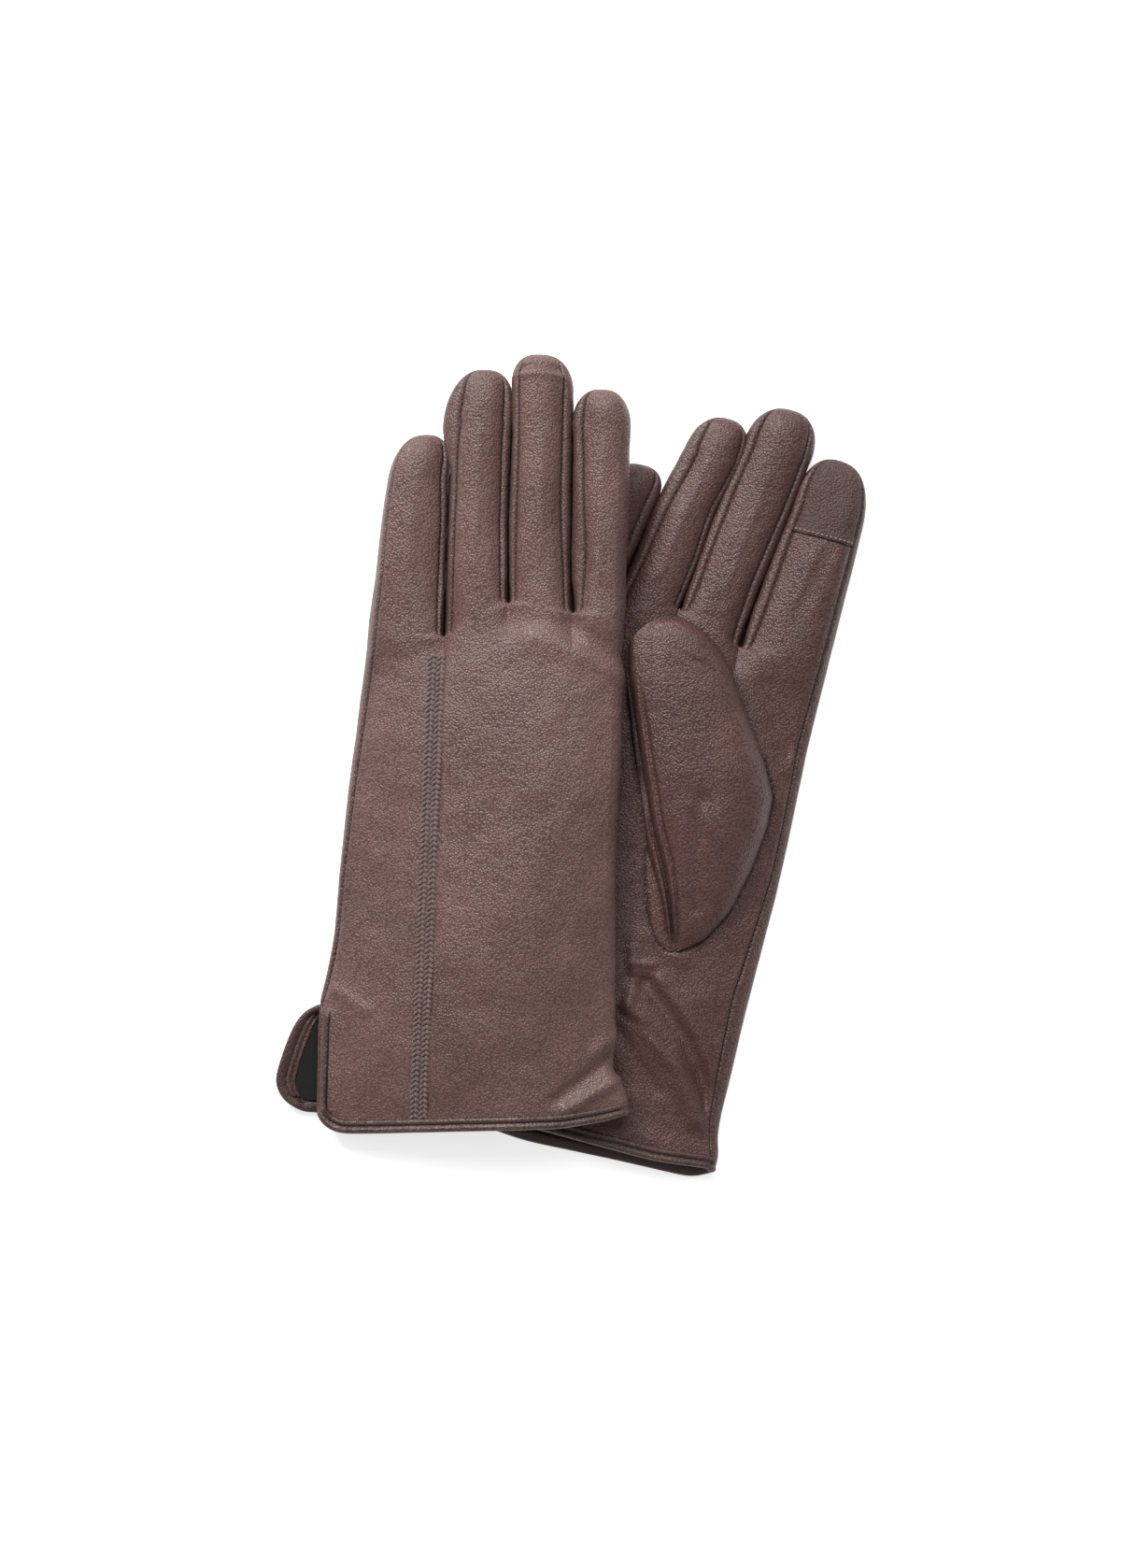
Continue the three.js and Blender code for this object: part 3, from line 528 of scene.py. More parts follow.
# Each fold is a soft ridge (or valley, if negative) along a line: points, half width, height.
FOLDS = {
    "left": [
        (((6, 156.5), (15, 157), (24, 154.5), (33, 150), (40, 146)), 3.6, -0.38),
        (((12, 151), (20, 149.2), (28, 145.8), (36, 142), (42, 139.5)), 3.4, 0.42),
        (((24, 8.5), (33.7, 16.3), (40.7, 22.3)), 2.2, -0.55),
        (((27, 5.5), (42.4, 15.1)), 2.0, 0.6),
        (((36, 24), (43, 30)), 2.0, 0.35),
        (((44.2, 17.5), (40, 21)), 1.8, -0.5),
        (((-36, 144.4), (-28, 142.8), (-20, 146)), 3.0, -0.15),
        (((-30, 100), (-34, 60)), 4.5, -0.25),
        (((-46, 40), (-36, 34)), 2.0, 0.3),
        (((6, 234.6), (9, 235.4), (13, 235.3), (16.5, 234.2)), 0.95, -0.6),
        (((5, 232.2), (10, 233.2), (19, 231.8)), 1.1, 0.42),
        (((-7.6, 172), (-6.8, 214)), 1.3, 0.22),
        (((-10.6, 176), (-10.2, 206)), 0.8, -0.14),
        (((13.2, 176), (12.6, 214)), 1.2, 0.2),
        (((31.0, 176), (31.8, 212)), 1.6, 0.18),
        (((-28, 162), (-27, 196)), 2.0, 0.16),
    ],
    "right": [
        (((10, 51), (18, 45), (27, 37), (35, 27), (41.7, 15.5)), 2.4, -0.85),
        (((14, 53.5), (22, 47), (31, 38.5), (38, 28)), 2.0, 0.5),
        (((6, 44), (16, 36), (26, 28), (36, 14)), 2.6, 0.8),
        (((2, 38), (12, 29), (22, 20)), 2.4, -0.5),
        (((4.8, 40.1), (13.2, 37.9), (21.7, 34.1)), 1.4, -0.35),
        (((8.4, 66.6), (19.1, 60.5)), 2.0, 0.35),
        (((6.9, 150.3), (20.6, 133.0), (33.5, 118.4)), 4.0, 0.5),
        (((22, 150), (34, 132)), 3.0, -0.4),
        (((33, 194), (30, 176)), 2.5, 0.3),
        (((2, 176), (6, 214)), 1.3, 0.22),
        (((-19, 174), (-14, 212)), 1.2, 0.2),
        (((24, 176), (27, 196)), 1.2, 0.18),
        (((0.2, 61.4), (3.6, 51), (4.0, 41.5)), 1.6, -0.25),
        (((3.2, 60.4), (6.6, 51), (6.4, 42)), 1.4, 0.3),
        (((3, 56), (11, 57.6)), 1.0, 0.35),
        (((4, 52), (12, 52.4)), 1.0, -0.3),
        (((4, 48), (12, 46.8)), 1.0, 0.3),
    ],
    "thumb": [
        (((0.9, 95.3), (5.3, 91), (11, 88.6), (15.3, 85)), 0.8, -0.28),
        (((8.1, 90.2), (13.8, 87.1)), 0.45, -0.25),
        (((8.8, 47), (7.4, 30), (6.9, 14)), 3.0, -0.9),
        (((6, 45.9), (14.5, 34.2)), 2.4, 0.35),
        (((16, 44), (20, 28)), 3.0, 0.5),
        (((-4.5, 104), (-5.2, 75)), 1.6, -0.35),
    ],
}


def folded(x, y, folds):
    """Sum of soft ridges and valleys."""
    return sum(height * bell(near_line(x, y, points), width) for points, width, height in folds)


def wrinkle(glove, x, y, upper):
    """Height added to the skin: named folds, then soft hollows and fine creasing."""
    total = 0.42 * noise(x + 40, y * 0.7, 17) + 0.20 * noise(x * 1.3, y + 9, 7.5)
    total += 0.07 * noise(x + y * 0.5, y - x * 0.5, 3.1)
    if upper:
        total = total + FOLD_HEIGHT * folded(x, y, FOLDS[glove.name])
    else:
        total = -0.3 * np.abs(total)
    if (glove is LEFT) == upper:
        channel = np.abs(x - braid_x(y))
        inside = smooth(y, -4, 0) * (1 - smooth(y, 143, 146))
        total = total - 0.4 * inside * (1 - smooth(channel, 2.3, 3.2))
    return total


def braid_x(y):
    """Where the braided line runs."""
    return np.interp(y, [0, 144], [-18.6, -17.9])


# ---------------------------------------------------------------- the thumb

thumb_left = curve((0, -1.2), (2, -4.8), (8, -7.4), (20, -8.7), (34, -8.0), (50, -9.6), (81, -12.8),
                   (89, -13.6), (94, -13.3), (98, -11.6), (100.8, -9.2), (103, -6.1), (104.3, -3.2),
                   (105, -0.8), soft=1.0)
thumb_right = curve((0, 0.9), (3, 9), (12, 17.6), (25, 24.6), (38, 29.6), (48, 31.8), (59, 28.8),
                    (73, 23.8), (84, 20.4), (91, 17.4), (96.5, 13.9), (100.3, 10), (103, 5.9),
                    (104.3, 2.9), (105, 0.2), soft=1.0)
ridge_line = curve((0, 0.6), (17, -0.5), (26, -1.9), (40, -5.4), (75, -10.3), (105, -13), soft=3)


def thumb_to_hand(x, y):
    """From the thumb's own plan, y along it, to the glove's."""
    cos, sin = math.cos(THUMB_ANGLE), math.sin(THUMB_ANGLE)
    return x * cos - y * sin + THUMB_PLACE[0], x * sin + y * cos + THUMB_PLACE[1]


def palm_height(glove, x, y):
    """Plain height of the hand's palm face."""
    xl, xr = glove.left(y), glove.right(y)
    share = np.clip((x - xl) / (xr - xl), 0, 1)
    if glove.back_up:
        return drape(glove, x, y)
    return fit(glove, x, y, np.ones(np.shape(x)), share, share, 0.0, 1, 0, True)


def oval():
    """The line of the thumb's oval seam on the palm."""
    left = [(thumb_left(s), s) for s in (32, 26, 20, 14, 8, 4, 1.5, 0.4)]
    right = [(thumb_right(s), s) for s in (0.4, 1.5, 3, 6, 12, 18, 25, 32, 38, 44, 48, 54, 59)]
    return [thumb_to_hand(float(x), s) for x, s in left + right]


def thumb_rise(glove, s, x):
    """Height of the thumb's outer skin above the palm, ridges on its little-finger side."""
    crown = glove.thumb_height * line((0, 0.10), (5, 0.28), (20, 0.62), (40, 0.88), (56, 0.98),
                                      (80, 0.97), (93, 0.93), (99, 0.85), (102.5, 0.68),
                                      (104, 0.5), (105, 0.3))(s)
    left, right, ridge = thumb_left(s), thumb_right(s), ridge_line(s)
    half = (right - ridge) / 2
    c = (x - ridge) / np.maximum(2 * half, 1e-3)
    free = smooth(s, 48, 60)
    edge = lerp(0.15, min(2.6, glove.thumb_height * 0.5), free)
    low = lerp(0.45, 0.72, smooth(s, 70, 88)) * crown
    up_left = np.sqrt(np.clip(1 - (1 - np.clip(c / 0.5, 0, 1)) ** 2.4, 0, 1))
    up_right = np.sqrt(np.clip(1 - np.clip((c - 0.5) / 0.5, 0, 1) ** 3.0, 0, 1))
    dome = np.where(c < 0.5, low + (crown - low) * up_left, edge + (crown - edge) * up_right)
    out = np.clip((ridge - x) / np.maximum(ridge - left, 1e-3), 0, 1)
    foot = lerp(0.9, min(2.4, glove.thumb_height * 0.45), smooth(s, 26, 44))
    fall = lerp(low, foot, smooth(out, 0.0, 0.85)) - 0.9 * (1 - free) * smooth(out, 0.9, 1.0)
    ridges = np.zeros(np.shape(c))
    if not glove.back_up:
        keep = smooth(s, 1, 8) * (1 - smooth(s, 74, 86))
        near = lerp(0.55, 1.0, smooth(s, 4, 30))
        for at, size, width in ((0.3, 1.1, 1.0), (-2.8, 1.3, 1.0), (-1.25, -1.5, 0.5),
                                (2.0, -0.6, 0.5), (-4.5, -1.0, 0.5)):
            ridges = ridges + keep * size * bell(x - ridge - at * near, width)
    return np.where(c >= 0, dome, fall) + ridges


def thumb_grids(glove):
    """Outer and inner skin of the thumb, rows from the low end of its oval seam to its tip."""
    tip = [101.7, 102.4, 103.0, 103.5, 103.9, 104.25, 104.55, 104.8]
    s = np.concatenate([np.linspace(0.3, THUMB_HINGE, 64), np.linspace(THUMB_HINGE, 101, 52)[1:],
                        tip])
    c = np.concatenate([[0, 0.012, 0.03], np.linspace(0.055, 0.945, 68), [0.965, 0.985, 1]])
    s_, c_ = s[:, None], c[None, :]
    x = lerp(thumb_left(s_), thumb_right(s_), c_)
    y = np.broadcast_to(s_, x.shape)
    beyond = np.maximum(y - THUMB_HINGE, 0) * (1 - glove.thumb_reach)
    hx, hy = thumb_to_hand(x, y - beyond)
    rise = thumb_rise(glove, y, x)
    rise = rise + 0.16 * noise(hx, hy * 0.6, 9) + 0.06 * noise(hx + 5, hy, 4)
    if not glove.back_up:
        rise = rise + folded(x, y, FOLDS["thumb"])
    free = smooth(y, 48, 60)
    under = lerp(0.0, 0.7, free)
    out = -1 if glove.back_up else 1
    palm = palm_height(glove, hx, hy)
    top = np.stack([hx, hy, palm + out * np.maximum(rise, under + 0.35)], -1)
    # The inner skin turns up to meet the outer one round the free edge.
    meet = np.maximum(np.abs(2 * c_ - 1) ** 7, smooth(s_, 99, 104)) * free
    low = np.stack([hx, hy, palm + out * lerp(under, np.maximum(rise - 0.3, under), meet)], -1)
    return s, top, low


# ---------------------------------------------------------------- mesh building

MATERIALS = {}


def build(name, verts, faces, glove, material, normals=None, crease=None):
    """A mesh object from glove millimetres, placed in the row frame, named after its glove."""
    name = f"{glove.name}_vis_{name}"
    mesh = bpy.data.meshes.new(name)
    verts = np.asarray(verts, float).reshape(-1, 3)
    mesh.from_pydata(to_row(glove, verts).tolist(), [], faces)
    mesh.shade_smooth()
    if crease is not None:
        # Per-vertex painted shade for seams, folds and hollows, read by the leather material.
        layer = mesh.attributes.new("crease", "FLOAT", "POINT")
        layer.data.foreach_set("value", np.asarray(crease, np.float32).ravel())
    if normals is not None:
        loops = np.zeros(len(mesh.loops), np.int32)
        mesh.loops.foreach_get("vertex_index", loops)
        mesh.normals_split_custom_set(turned(glove, normals)[loops].tolist())
    obj = bpy.data.objects.new(name, mesh)
    bpy.context.scene.collection.objects.link(obj)
    mesh.materials.append(MATERIALS[material])
    return obj


def weld(verts, faces, *extras):
    """Joins equal points, so that a tip's last row becomes one point."""
    _, first, inverse = np.unique(np.round(verts, 4), axis=0, return_index=True,
                                  return_inverse=True)
    inverse = inverse.ravel()
    kept = []
    for face in faces:
        ring = []
        for v in face:
            w = int(inverse[v])
            if w not in ring:
                ring.append(w)
        if len(ring) > 2:
            kept.append(ring)
    return verts[first], kept, [e[first] for e in extras]


def shell(name, grid, normals, glove, material, crease=None, thick=SKIN):
    """Closed sheet of leather or knit: the grid is its outside, thick may differ by row."""
    thick = np.reshape(thick, (-1, 1, 1))
    rows, cols = grid.shape[:2]
    count = rows * cols
    index = np.arange(count).reshape(rows, cols)
    a, b = index[:-1, :-1], index[:-1, 1:]
    c, d = index[1:, 1:], index[1:, :-1]
    outside = np.stack([a, b, c, d], -1).reshape(-1, 4)
    r, k = rows // 2, cols // 2
    facing = np.cross(grid[r, k + 1] - grid[r, k], grid[r + 1, k] - grid[r, k]) @ normals[r, k]
    inside = outside[:, ::-1] + count
    border = np.concatenate([index[0, :], index[1:, -1], index[-1, -2::-1], index[-2:0:-1, 0]])
    after = np.roll(border, -1)
    rim = np.stack([after, border, border + count, after + count], -1)
    if facing < 0:
        outside, inside, rim = outside[:, ::-1], inside[:, ::-1], rim[:, ::-1]
    verts = np.concatenate([grid.reshape(-1, 3), (grid - normals * thick).reshape(-1, 3)])
    both = np.concatenate([normals.reshape(-1, 3), -normals.reshape(-1, 3)])
    dark = np.zeros(count) if crease is None else crease.reshape(-1)
    # Painted shade on the sheet's inner face: it is darkened to 0.6 wherever it shows.
    dark = np.concatenate([dark, dark * 0 + 0.6])
    faces = np.concatenate([outside, inside, rim]).tolist()
    verts, faces, (both, dark) = weld(verts, faces, both, dark)
    return build(name, verts, faces, glove, material, both, dark)


def tube_rings(rings):
    """Faces through a list of equal closed rings, with capped ends."""
    n, m = len(rings), len(rings[0])
    faces = []
    for r in range(n - 1):
        for i in range(m):
            j = (i + 1) % m
            faces.append([r * m + i, r * m + j, (r + 1) * m + j, (r + 1) * m + i])
    faces.append(list(range(m))[::-1])
    faces.append([(n - 1) * m + i for i in range(m)])
    return faces


HEXAGON = np.radians(np.arange(0, 360, 60))[:, None]


def add_thread(verts, faces, centre, across, out):
    """Adds one short six-sided thread, given its centre line and its half widths both ways."""
    rings = [c + np.cos(HEXAGON) * a + np.sin(HEXAGON) * o for c, a, o in zip(centre, across, out)]
    offset = len(verts) * len(HEXAGON)
    faces += [[v + offset for v in f] for f in tube_rings(rings)]
    verts += rings


def stitches(name, glove, path, normals, pitch, length, radius, sink, material="thread"):
    """Row of short thread stitches along a path of glove points."""
    path, normals = np.asarray(path), np.asarray(normals)
    along = np.concatenate([[0], np.cumsum(np.linalg.norm(np.diff(path, axis=0), axis=1))])
    verts, faces = [], []
    for start in np.arange(0.4, along[-1] - length, pitch):
        at = start + np.array([0, 0.12, 0.5, 0.88, 1.0]) * length
        centre = np.stack([np.interp(at, along, path[:, i]) for i in range(3)], -1)
        n = unit(np.stack([np.interp(at, along, normals[:, i]) for i in range(3)], -1))
        t = unit(np.gradient(centre, axis=0))
        side = unit(np.cross(t, n))
        size = radius * np.array([0.25, 0.85, 1.0, 0.85, 0.25])[:, None]
        centre = centre + n * (np.array([-1.6, -0.3, 0.25, -0.3, -1.6])[:, None] * radius - sink)
        add_thread(verts, faces, centre, size * side, size * n)
    return build(name, np.concatenate(verts), faces, glove, material)


def sweep(name, glove, path, normals, inward, profile, material, crease):
    """Profile of (way in, height) pairs carried round a closed path."""
    profile = np.asarray(profile)
    rings = (path[:, None, :] + profile[None, :, :1] * inward[:, None, :]
             + profile[None, :, 1:] * normals[:, None, :])
    n, m = rings.shape[:2]
    faces = []
    for r in range(n):
        s = (r + 1) % n
        for i in range(m):
            j = (i + 1) % m
            faces.append([r * m + i, s * m + i, s * m + j, r * m + j])
    obj = build(name, rings, faces, glove, material, crease=np.tile(crease, (n, 1)))
    return obj, rings


# ---------------------------------------------------------------- materials

def new_material(name):
    """An empty material under that name, with what its nodes are made from."""
    mat = bpy.data.materials.new(name)
    mat.use_nodes = True
    nodes, links = mat.node_tree.nodes, mat.node_tree.links
    shader = nodes["Principled BSDF"]
    where = nodes.new("ShaderNodeTexCoord").outputs["Object"]
    MATERIALS[name] = mat
    return nodes, links, shader, where


def set_inputs(shader, **values):
    """Values of a shader's inputs, with _ for the spaces in their names."""
    for name, value in values.items():
        shader.inputs[name.replace("_", " ")].default_value = value


def texture(nodes, links, where, kind, scale, **settings):
    """A texture node on object coordinates."""
    node = nodes.new(kind)
    links.new(where, node.inputs["Vector"])
    node.inputs["Scale"].default_value = scale
    for key, value in settings.items():
        if key in node.inputs:
            node.inputs[key].default_value = value
        else:
            setattr(node, key, value)
    return node


def ramp(nodes, links, source, stops):
    node = nodes.new("ShaderNodeValToRGB")
    links.new(source, node.inputs["Fac"])
    elements = node.color_ramp.elements
    while len(elements) < len(stops):
        elements.new(0.5)
    for element, (at, colour) in zip(elements, stops):
        element.position = at
        element.color = (*colour, 1)
    return node.outputs["Color"]


def mix_colour(nodes, links, factor, a, b, mode="MIX"):
    node = nodes.new("ShaderNodeMix")
    node.data_type = "RGBA"
    node.blend_type = mode
    for socket, value in ((node.inputs["Factor"], factor), (node.inputs["A"], a),
                          (node.inputs["B"], b)):
        if hasattr(value, "links"):
            links.new(value, socket)
        elif isinstance(value, (int, float)):
            socket.default_value = value
        else:
            socket.default_value = (*value, 1)
    return node.outputs["Result"]


def bump(nodes, links, height, strength, distance, below=None):
    node = nodes.new("ShaderNodeBump")
    node.inputs["Strength"].default_value = strength
    node.inputs["Distance"].default_value = distance
    links.new(height, node.inputs["Height"])
    if below is not None:
        links.new(below, node.inputs["Normal"])
    return node.outputs["Normal"]


def leather(name, base, dark, light, grain=0.85, rough=(0.31, 0.44)):
    """Smooth-grained glove leather: pebble grain, soft mottling, and painted shade in the seams and
    hollows.
    """
    nodes, links, shader, where = new_material(name)
    mottle = texture(nodes, links, where, "ShaderNodeTexNoise", 38, Detail=4, Roughness=0.6)
    colour = ramp(nodes, links, mottle.outputs["Fac"], [(0.3, dark), (0.5, base), (0.72, light)])
    pores = texture(nodes, links, where, "ShaderNodeTexVoronoi", 1500, Randomness=1.0)
    pebble = ramp(nodes, links, pores.outputs["Distance"], [(0.15, (1, 1, 1)), (0.75, (0, 0, 0))])
    tone = mix_colour(nodes, links, 0.28, colour, pebble, "SOFT_LIGHT")
    crease = nodes.new("ShaderNodeAttribute")
    crease.attribute_name = "crease"
    # Painted shade: where the mesh's shade mask is high, the colour turns to a dark brown at 30 % of
    # the mottle's dark tone.
    deep = tuple(v * 0.30 for v in dark)
    tone = mix_colour(nodes, links, crease.outputs["Fac"], tone, deep)
    links.new(tone, shader.inputs["Base Color"])
    gloss = texture(nodes, links, where, "ShaderNodeTexNoise", 160, Detail=3)
    spread = nodes.new("ShaderNodeMapRange")
    spread.inputs["To Min"].default_value, spread.inputs["To Max"].default_value = rough
    links.new(gloss.outputs["Fac"], spread.inputs["Value"])
    links.new(spread.outputs["Result"], shader.inputs["Roughness"])
    fine = texture(nodes, links, where, "ShaderNodeTexNoise", 2600, Detail=3, Roughness=0.6)
    wave = texture(nodes, links, where, "ShaderNodeTexNoise", 420, Detail=3, Distortion=0.6)
    normal = bump(nodes, links, wave.outputs["Fac"], 0.3, 0.0007)
    normal = bump(nodes, links, pebble, 0.62 * grain, 0.0003, normal)
    normal = bump(nodes, links, fine.outputs["Fac"], 0.12 * grain, 0.00012, normal)
    links.new(normal, shader.inputs["Normal"])
    set_inputs(shader, Specular_IOR_Level=0.39, Sheen_Weight=0.02, Sheen_Roughness=0.45,
               Sheen_Tint=(0.95, 0.82, 0.78, 1))


def knit():
    """Charcoal fleece-backed jersey."""
    nodes, links, shader, where = new_material("lining")
    loops = texture(nodes, links, where, "ShaderNodeTexWave", 520, Distortion=2.5, Detail=2)
    fuzz = texture(nodes, links, where, "ShaderNodeTexNoise", 1500, Detail=5, Roughness=0.7)
    colour = ramp(nodes, links, fuzz.outputs["Fac"],
                  [(0.3, (0.002, 0.002, 0.002)), (0.7, (0.006, 0.0056, 0.0056))])
    links.new(colour, shader.inputs["Base Color"])
    set_inputs(shader, Roughness=0.92, Specular_IOR_Level=0.3, Sheen_Weight=0.06,
               Sheen_Roughness=0.6)
    normal = bump(nodes, links, loops.outputs["Fac"], 0.35, 0.0004)
    normal = bump(nodes, links, fuzz.outputs["Fac"], 0.4, 0.0003, normal)
    links.new(normal, shader.inputs["Normal"])


def thread(name, low, high, scale=1500, bend=1.0, rough=0.6, sheen=0.25, relief=(0.4, 0.0002)):
    """Twisted sewing thread, or ribs of elastic."""
    nodes, links, shader, where = new_material(name)
    twist = texture(nodes, links, where, "ShaderNodeTexWave", scale, Distortion=bend, Detail=1)
    colour = ramp(nodes, links, twist.outputs["Fac"], [(0.2, low), (0.8, high)])
    links.new(colour, shader.inputs["Base Color"])
    set_inputs(shader, Roughness=rough, Sheen_Weight=sheen)
    links.new(bump(nodes, links, twist.outputs["Fac"], *relief), shader.inputs["Normal"])


leather("leather_left", (0.098, 0.050, 0.043), (0.081, 0.040, 0.034), (0.117, 0.062, 0.054))
leather("leather_right", (0.069, 0.0295, 0.025), (0.056, 0.023, 0.0195), (0.083, 0.038, 0.033))
leather("side_left", (0.092, 0.048, 0.041), (0.074, 0.037, 0.031), (0.112, 0.061, 0.053), 0.7)
leather("side_right", (0.074, 0.035, 0.030), (0.060, 0.027, 0.023), (0.090, 0.045, 0.039), 0.7)
leather("touch", (0.056, 0.0275, 0.024), (0.047, 0.022, 0.0195), (0.067, 0.035, 0.031), 1.3,
        (0.46, 0.6))
leather("binding", (0.066, 0.032, 0.027), (0.052, 0.024, 0.020), (0.086, 0.044, 0.038), 0.6,
        (0.32, 0.46))
knit()
thread("thread", (0.020, 0.011, 0.010), (0.055, 0.033, 0.029))
thread("thread_light", (0.14, 0.080, 0.068), (0.30, 0.19, 0.165))
thread("braid", (0.070, 0.036, 0.030), (0.150, 0.084, 0.072))
thread("elastic", (0.006, 0.006, 0.006), (0.02, 0.02, 0.02), 900, 0.6, 0.85, 0, (0.6, 0.0003))


# ---------------------------------------------------------------- assembling a glove

HAND_ROWS = 190


def with_relief(glove, grid, upper, edge_dent):
    """Adds wrinkles and the seam rolls; returns the grid, its normals and the painted shade in its
    seams.
    """
    side = 1 if upper else -1
    start, end = run_lengths(grid)
    inland = smooth(np.minimum(start, end), 0, 3)
    amount = wrinkle(glove, grid[..., 0], grid[..., 1], upper) * inland - edge_dent
    moved = grid + normals_of(grid, side) * amount[..., None]
    return moved, normals_of(moved, side), seam_painted_shade(edge_dent)


def seam_painted_shade(edge_dent):
    """Painted shade that gathers at the bottom of a seam."""
    return np.clip(edge_dent / SEAM_DENT, 0, 1) ** 1.7


def seam_dent(grid, left, right):
    """Seam roll along a grid's first and last column, each with its own strength by row."""
    start, end = run_lengths(grid)
    room = smooth(start[:, -1], 1.0, 6.0)[:, None]
    return room * (dent(start) * left[:, None] + dent(end) * right[:, None])


def glove_skins(glove):
    """All skins of a glove, the hand's and the fingers' made as one and then split."""
    skins, strips = {}, {}
    for upper in (True, False):
        hand = hand_grid(glove, upper, HAND_ROWS)
        width = len(FACE) - 1
        lead = arc(seam_angles(glove, np.array([100.0]), -1), upper).shape[1]
        blocks = []
        for k in range(4):
            grids, fr = finger_grids(glove, k)
            start = lead + k * width
            columns = slice(0 if k == 0 else start, None if k == 3 else start + width + 1)
            blocks.append((columns, grids["up" if upper else "low"], fr))
            if upper:
                strips[k] = (grids, fr)
        ones = np.ones(HAND_ROWS)
        hand_dent = seam_dent(hand, ones, ones)
        if upper and not glove.back_up:
            gap = near_line(hand[..., 0], hand[..., 1], oval())
            hand_dent = np.maximum(hand_dent, dent(gap, 0.8, 0.55))
        moved, normals, dark = with_relief(glove, hand, upper, hand_dent)
        if upper == glove.back_up:
            # Painted shade in the channel that the braid sits in.
            off, y = np.abs(hand[..., 0] - braid_x(hand[..., 1])), hand[..., 1]
            channel = (1 - smooth(off, 2.4, 3.0)) * (1 - smooth(y, 143, 145))
            dark = np.maximum(dark, 0.42 * channel)
        tips = []
        for k, (columns, grid, fr) in enumerate(blocks):
            ones_f = np.ones(len(grid))
            fade = smooth(fr.yl - fr.y0[0], 0.2, 2.0)
            fade_r = smooth(fr.yr - fr.y0[1], 0.2, 2.0)
            e = seam_dent(grid, ones_f if k == 0 else fade, ones_f if k == 3 else fade_r)
            x, y = grid[..., 0], grid[..., 1]
            side = 1 if upper else -1
            n = normals_of(np.concatenate([hand[-8:, columns], grid[1:]]), side)[7:]
            scale = fr.scale[:, None]
            run = smooth(fr.t, 0, 0.3)[:, None]
            pads = (0.32 if upper else 0.08) * noise(x * 1.1, y * 0.4, 7) * scale
            start, end = run_lengths(grid)
            inland = smooth(start, 0, 3) if k == 0 else smooth(end, 0, 3) if k == 3 else 1
            relief = wrinkle(glove, x, y, upper) * lerp(1, 0.7, run) * scale
            amount = (relief + pads * run) * inland - e
            skin = grid + n * amount[..., None]
            skin[0] = moved[-1, columns]
            joined = normals_of(np.concatenate([moved[-8:, columns], skin[1:]]), side)
            normals[-8:, columns] = lerp(normals[-8:, columns], joined[:8],
                                         np.linspace(0, 1, 8)[:, None, None])
            tips.append((skin, unit(joined[7:]), seam_painted_shade(e)))
        normals = unit(normals)
        for k, (columns, _, _) in enumerate(blocks):
            tips[k][1][0] = normals[-1, columns]
        skins["up" if upper else "low"] = (moved, normals, dark, tips)
    return skins, strips


def finger_body(glove, name):
    """The body of a finger; the one under the left glove has none of its own."""
    if glove is RIGHT and name == "little":
        return None
    return f"{glove.name}_{name}"


def bend_with(glove, obj, name):
    """Hangs the piece on the glove's body when its finger has no body of its own; otherwise works
    out a bend span that nothing reads and bakes the piece's placement into its mesh.
    """
    body = finger_body(glove, name)
    if body is None:
        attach(obj, glove.body)
        return
    k = [f.name for f in glove.fingers].index(name)
    left_end, right_end = forks(glove)[k:k + 2]
    x = glove.crotches[k][0] - 10 if k < 3 else glove.crotches[2][0] + 8
    begin = max(left_end[1], right_end[1]) + BEND_START
    ends = to_row(glove, np.array([(x, begin, 9.0), (x, begin + BEND_LENGTH, 9.0)]))
    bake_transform(obj)


def prefix(glove, name):
    return f"{glove.name}_{name}"


def place(glove, obj, node, finger_name=None):
    """Hides the CAD node that a piece stands for, and hangs the piece on its glove's body unless it
    belongs to a finger, which is left to bend_with.
    """
    if node:
        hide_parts(prefix(glove, node))
    if finger_name:
        bend_with(glove, obj, finger_name)
    else:
        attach(obj, glove.body)


def layers(glove):
    """The upper and the lower skin, each with the face of the hand that it is."""
    return zip(("up", "low"), ("back", "palm") if glove.back_up else ("palm", "back"))


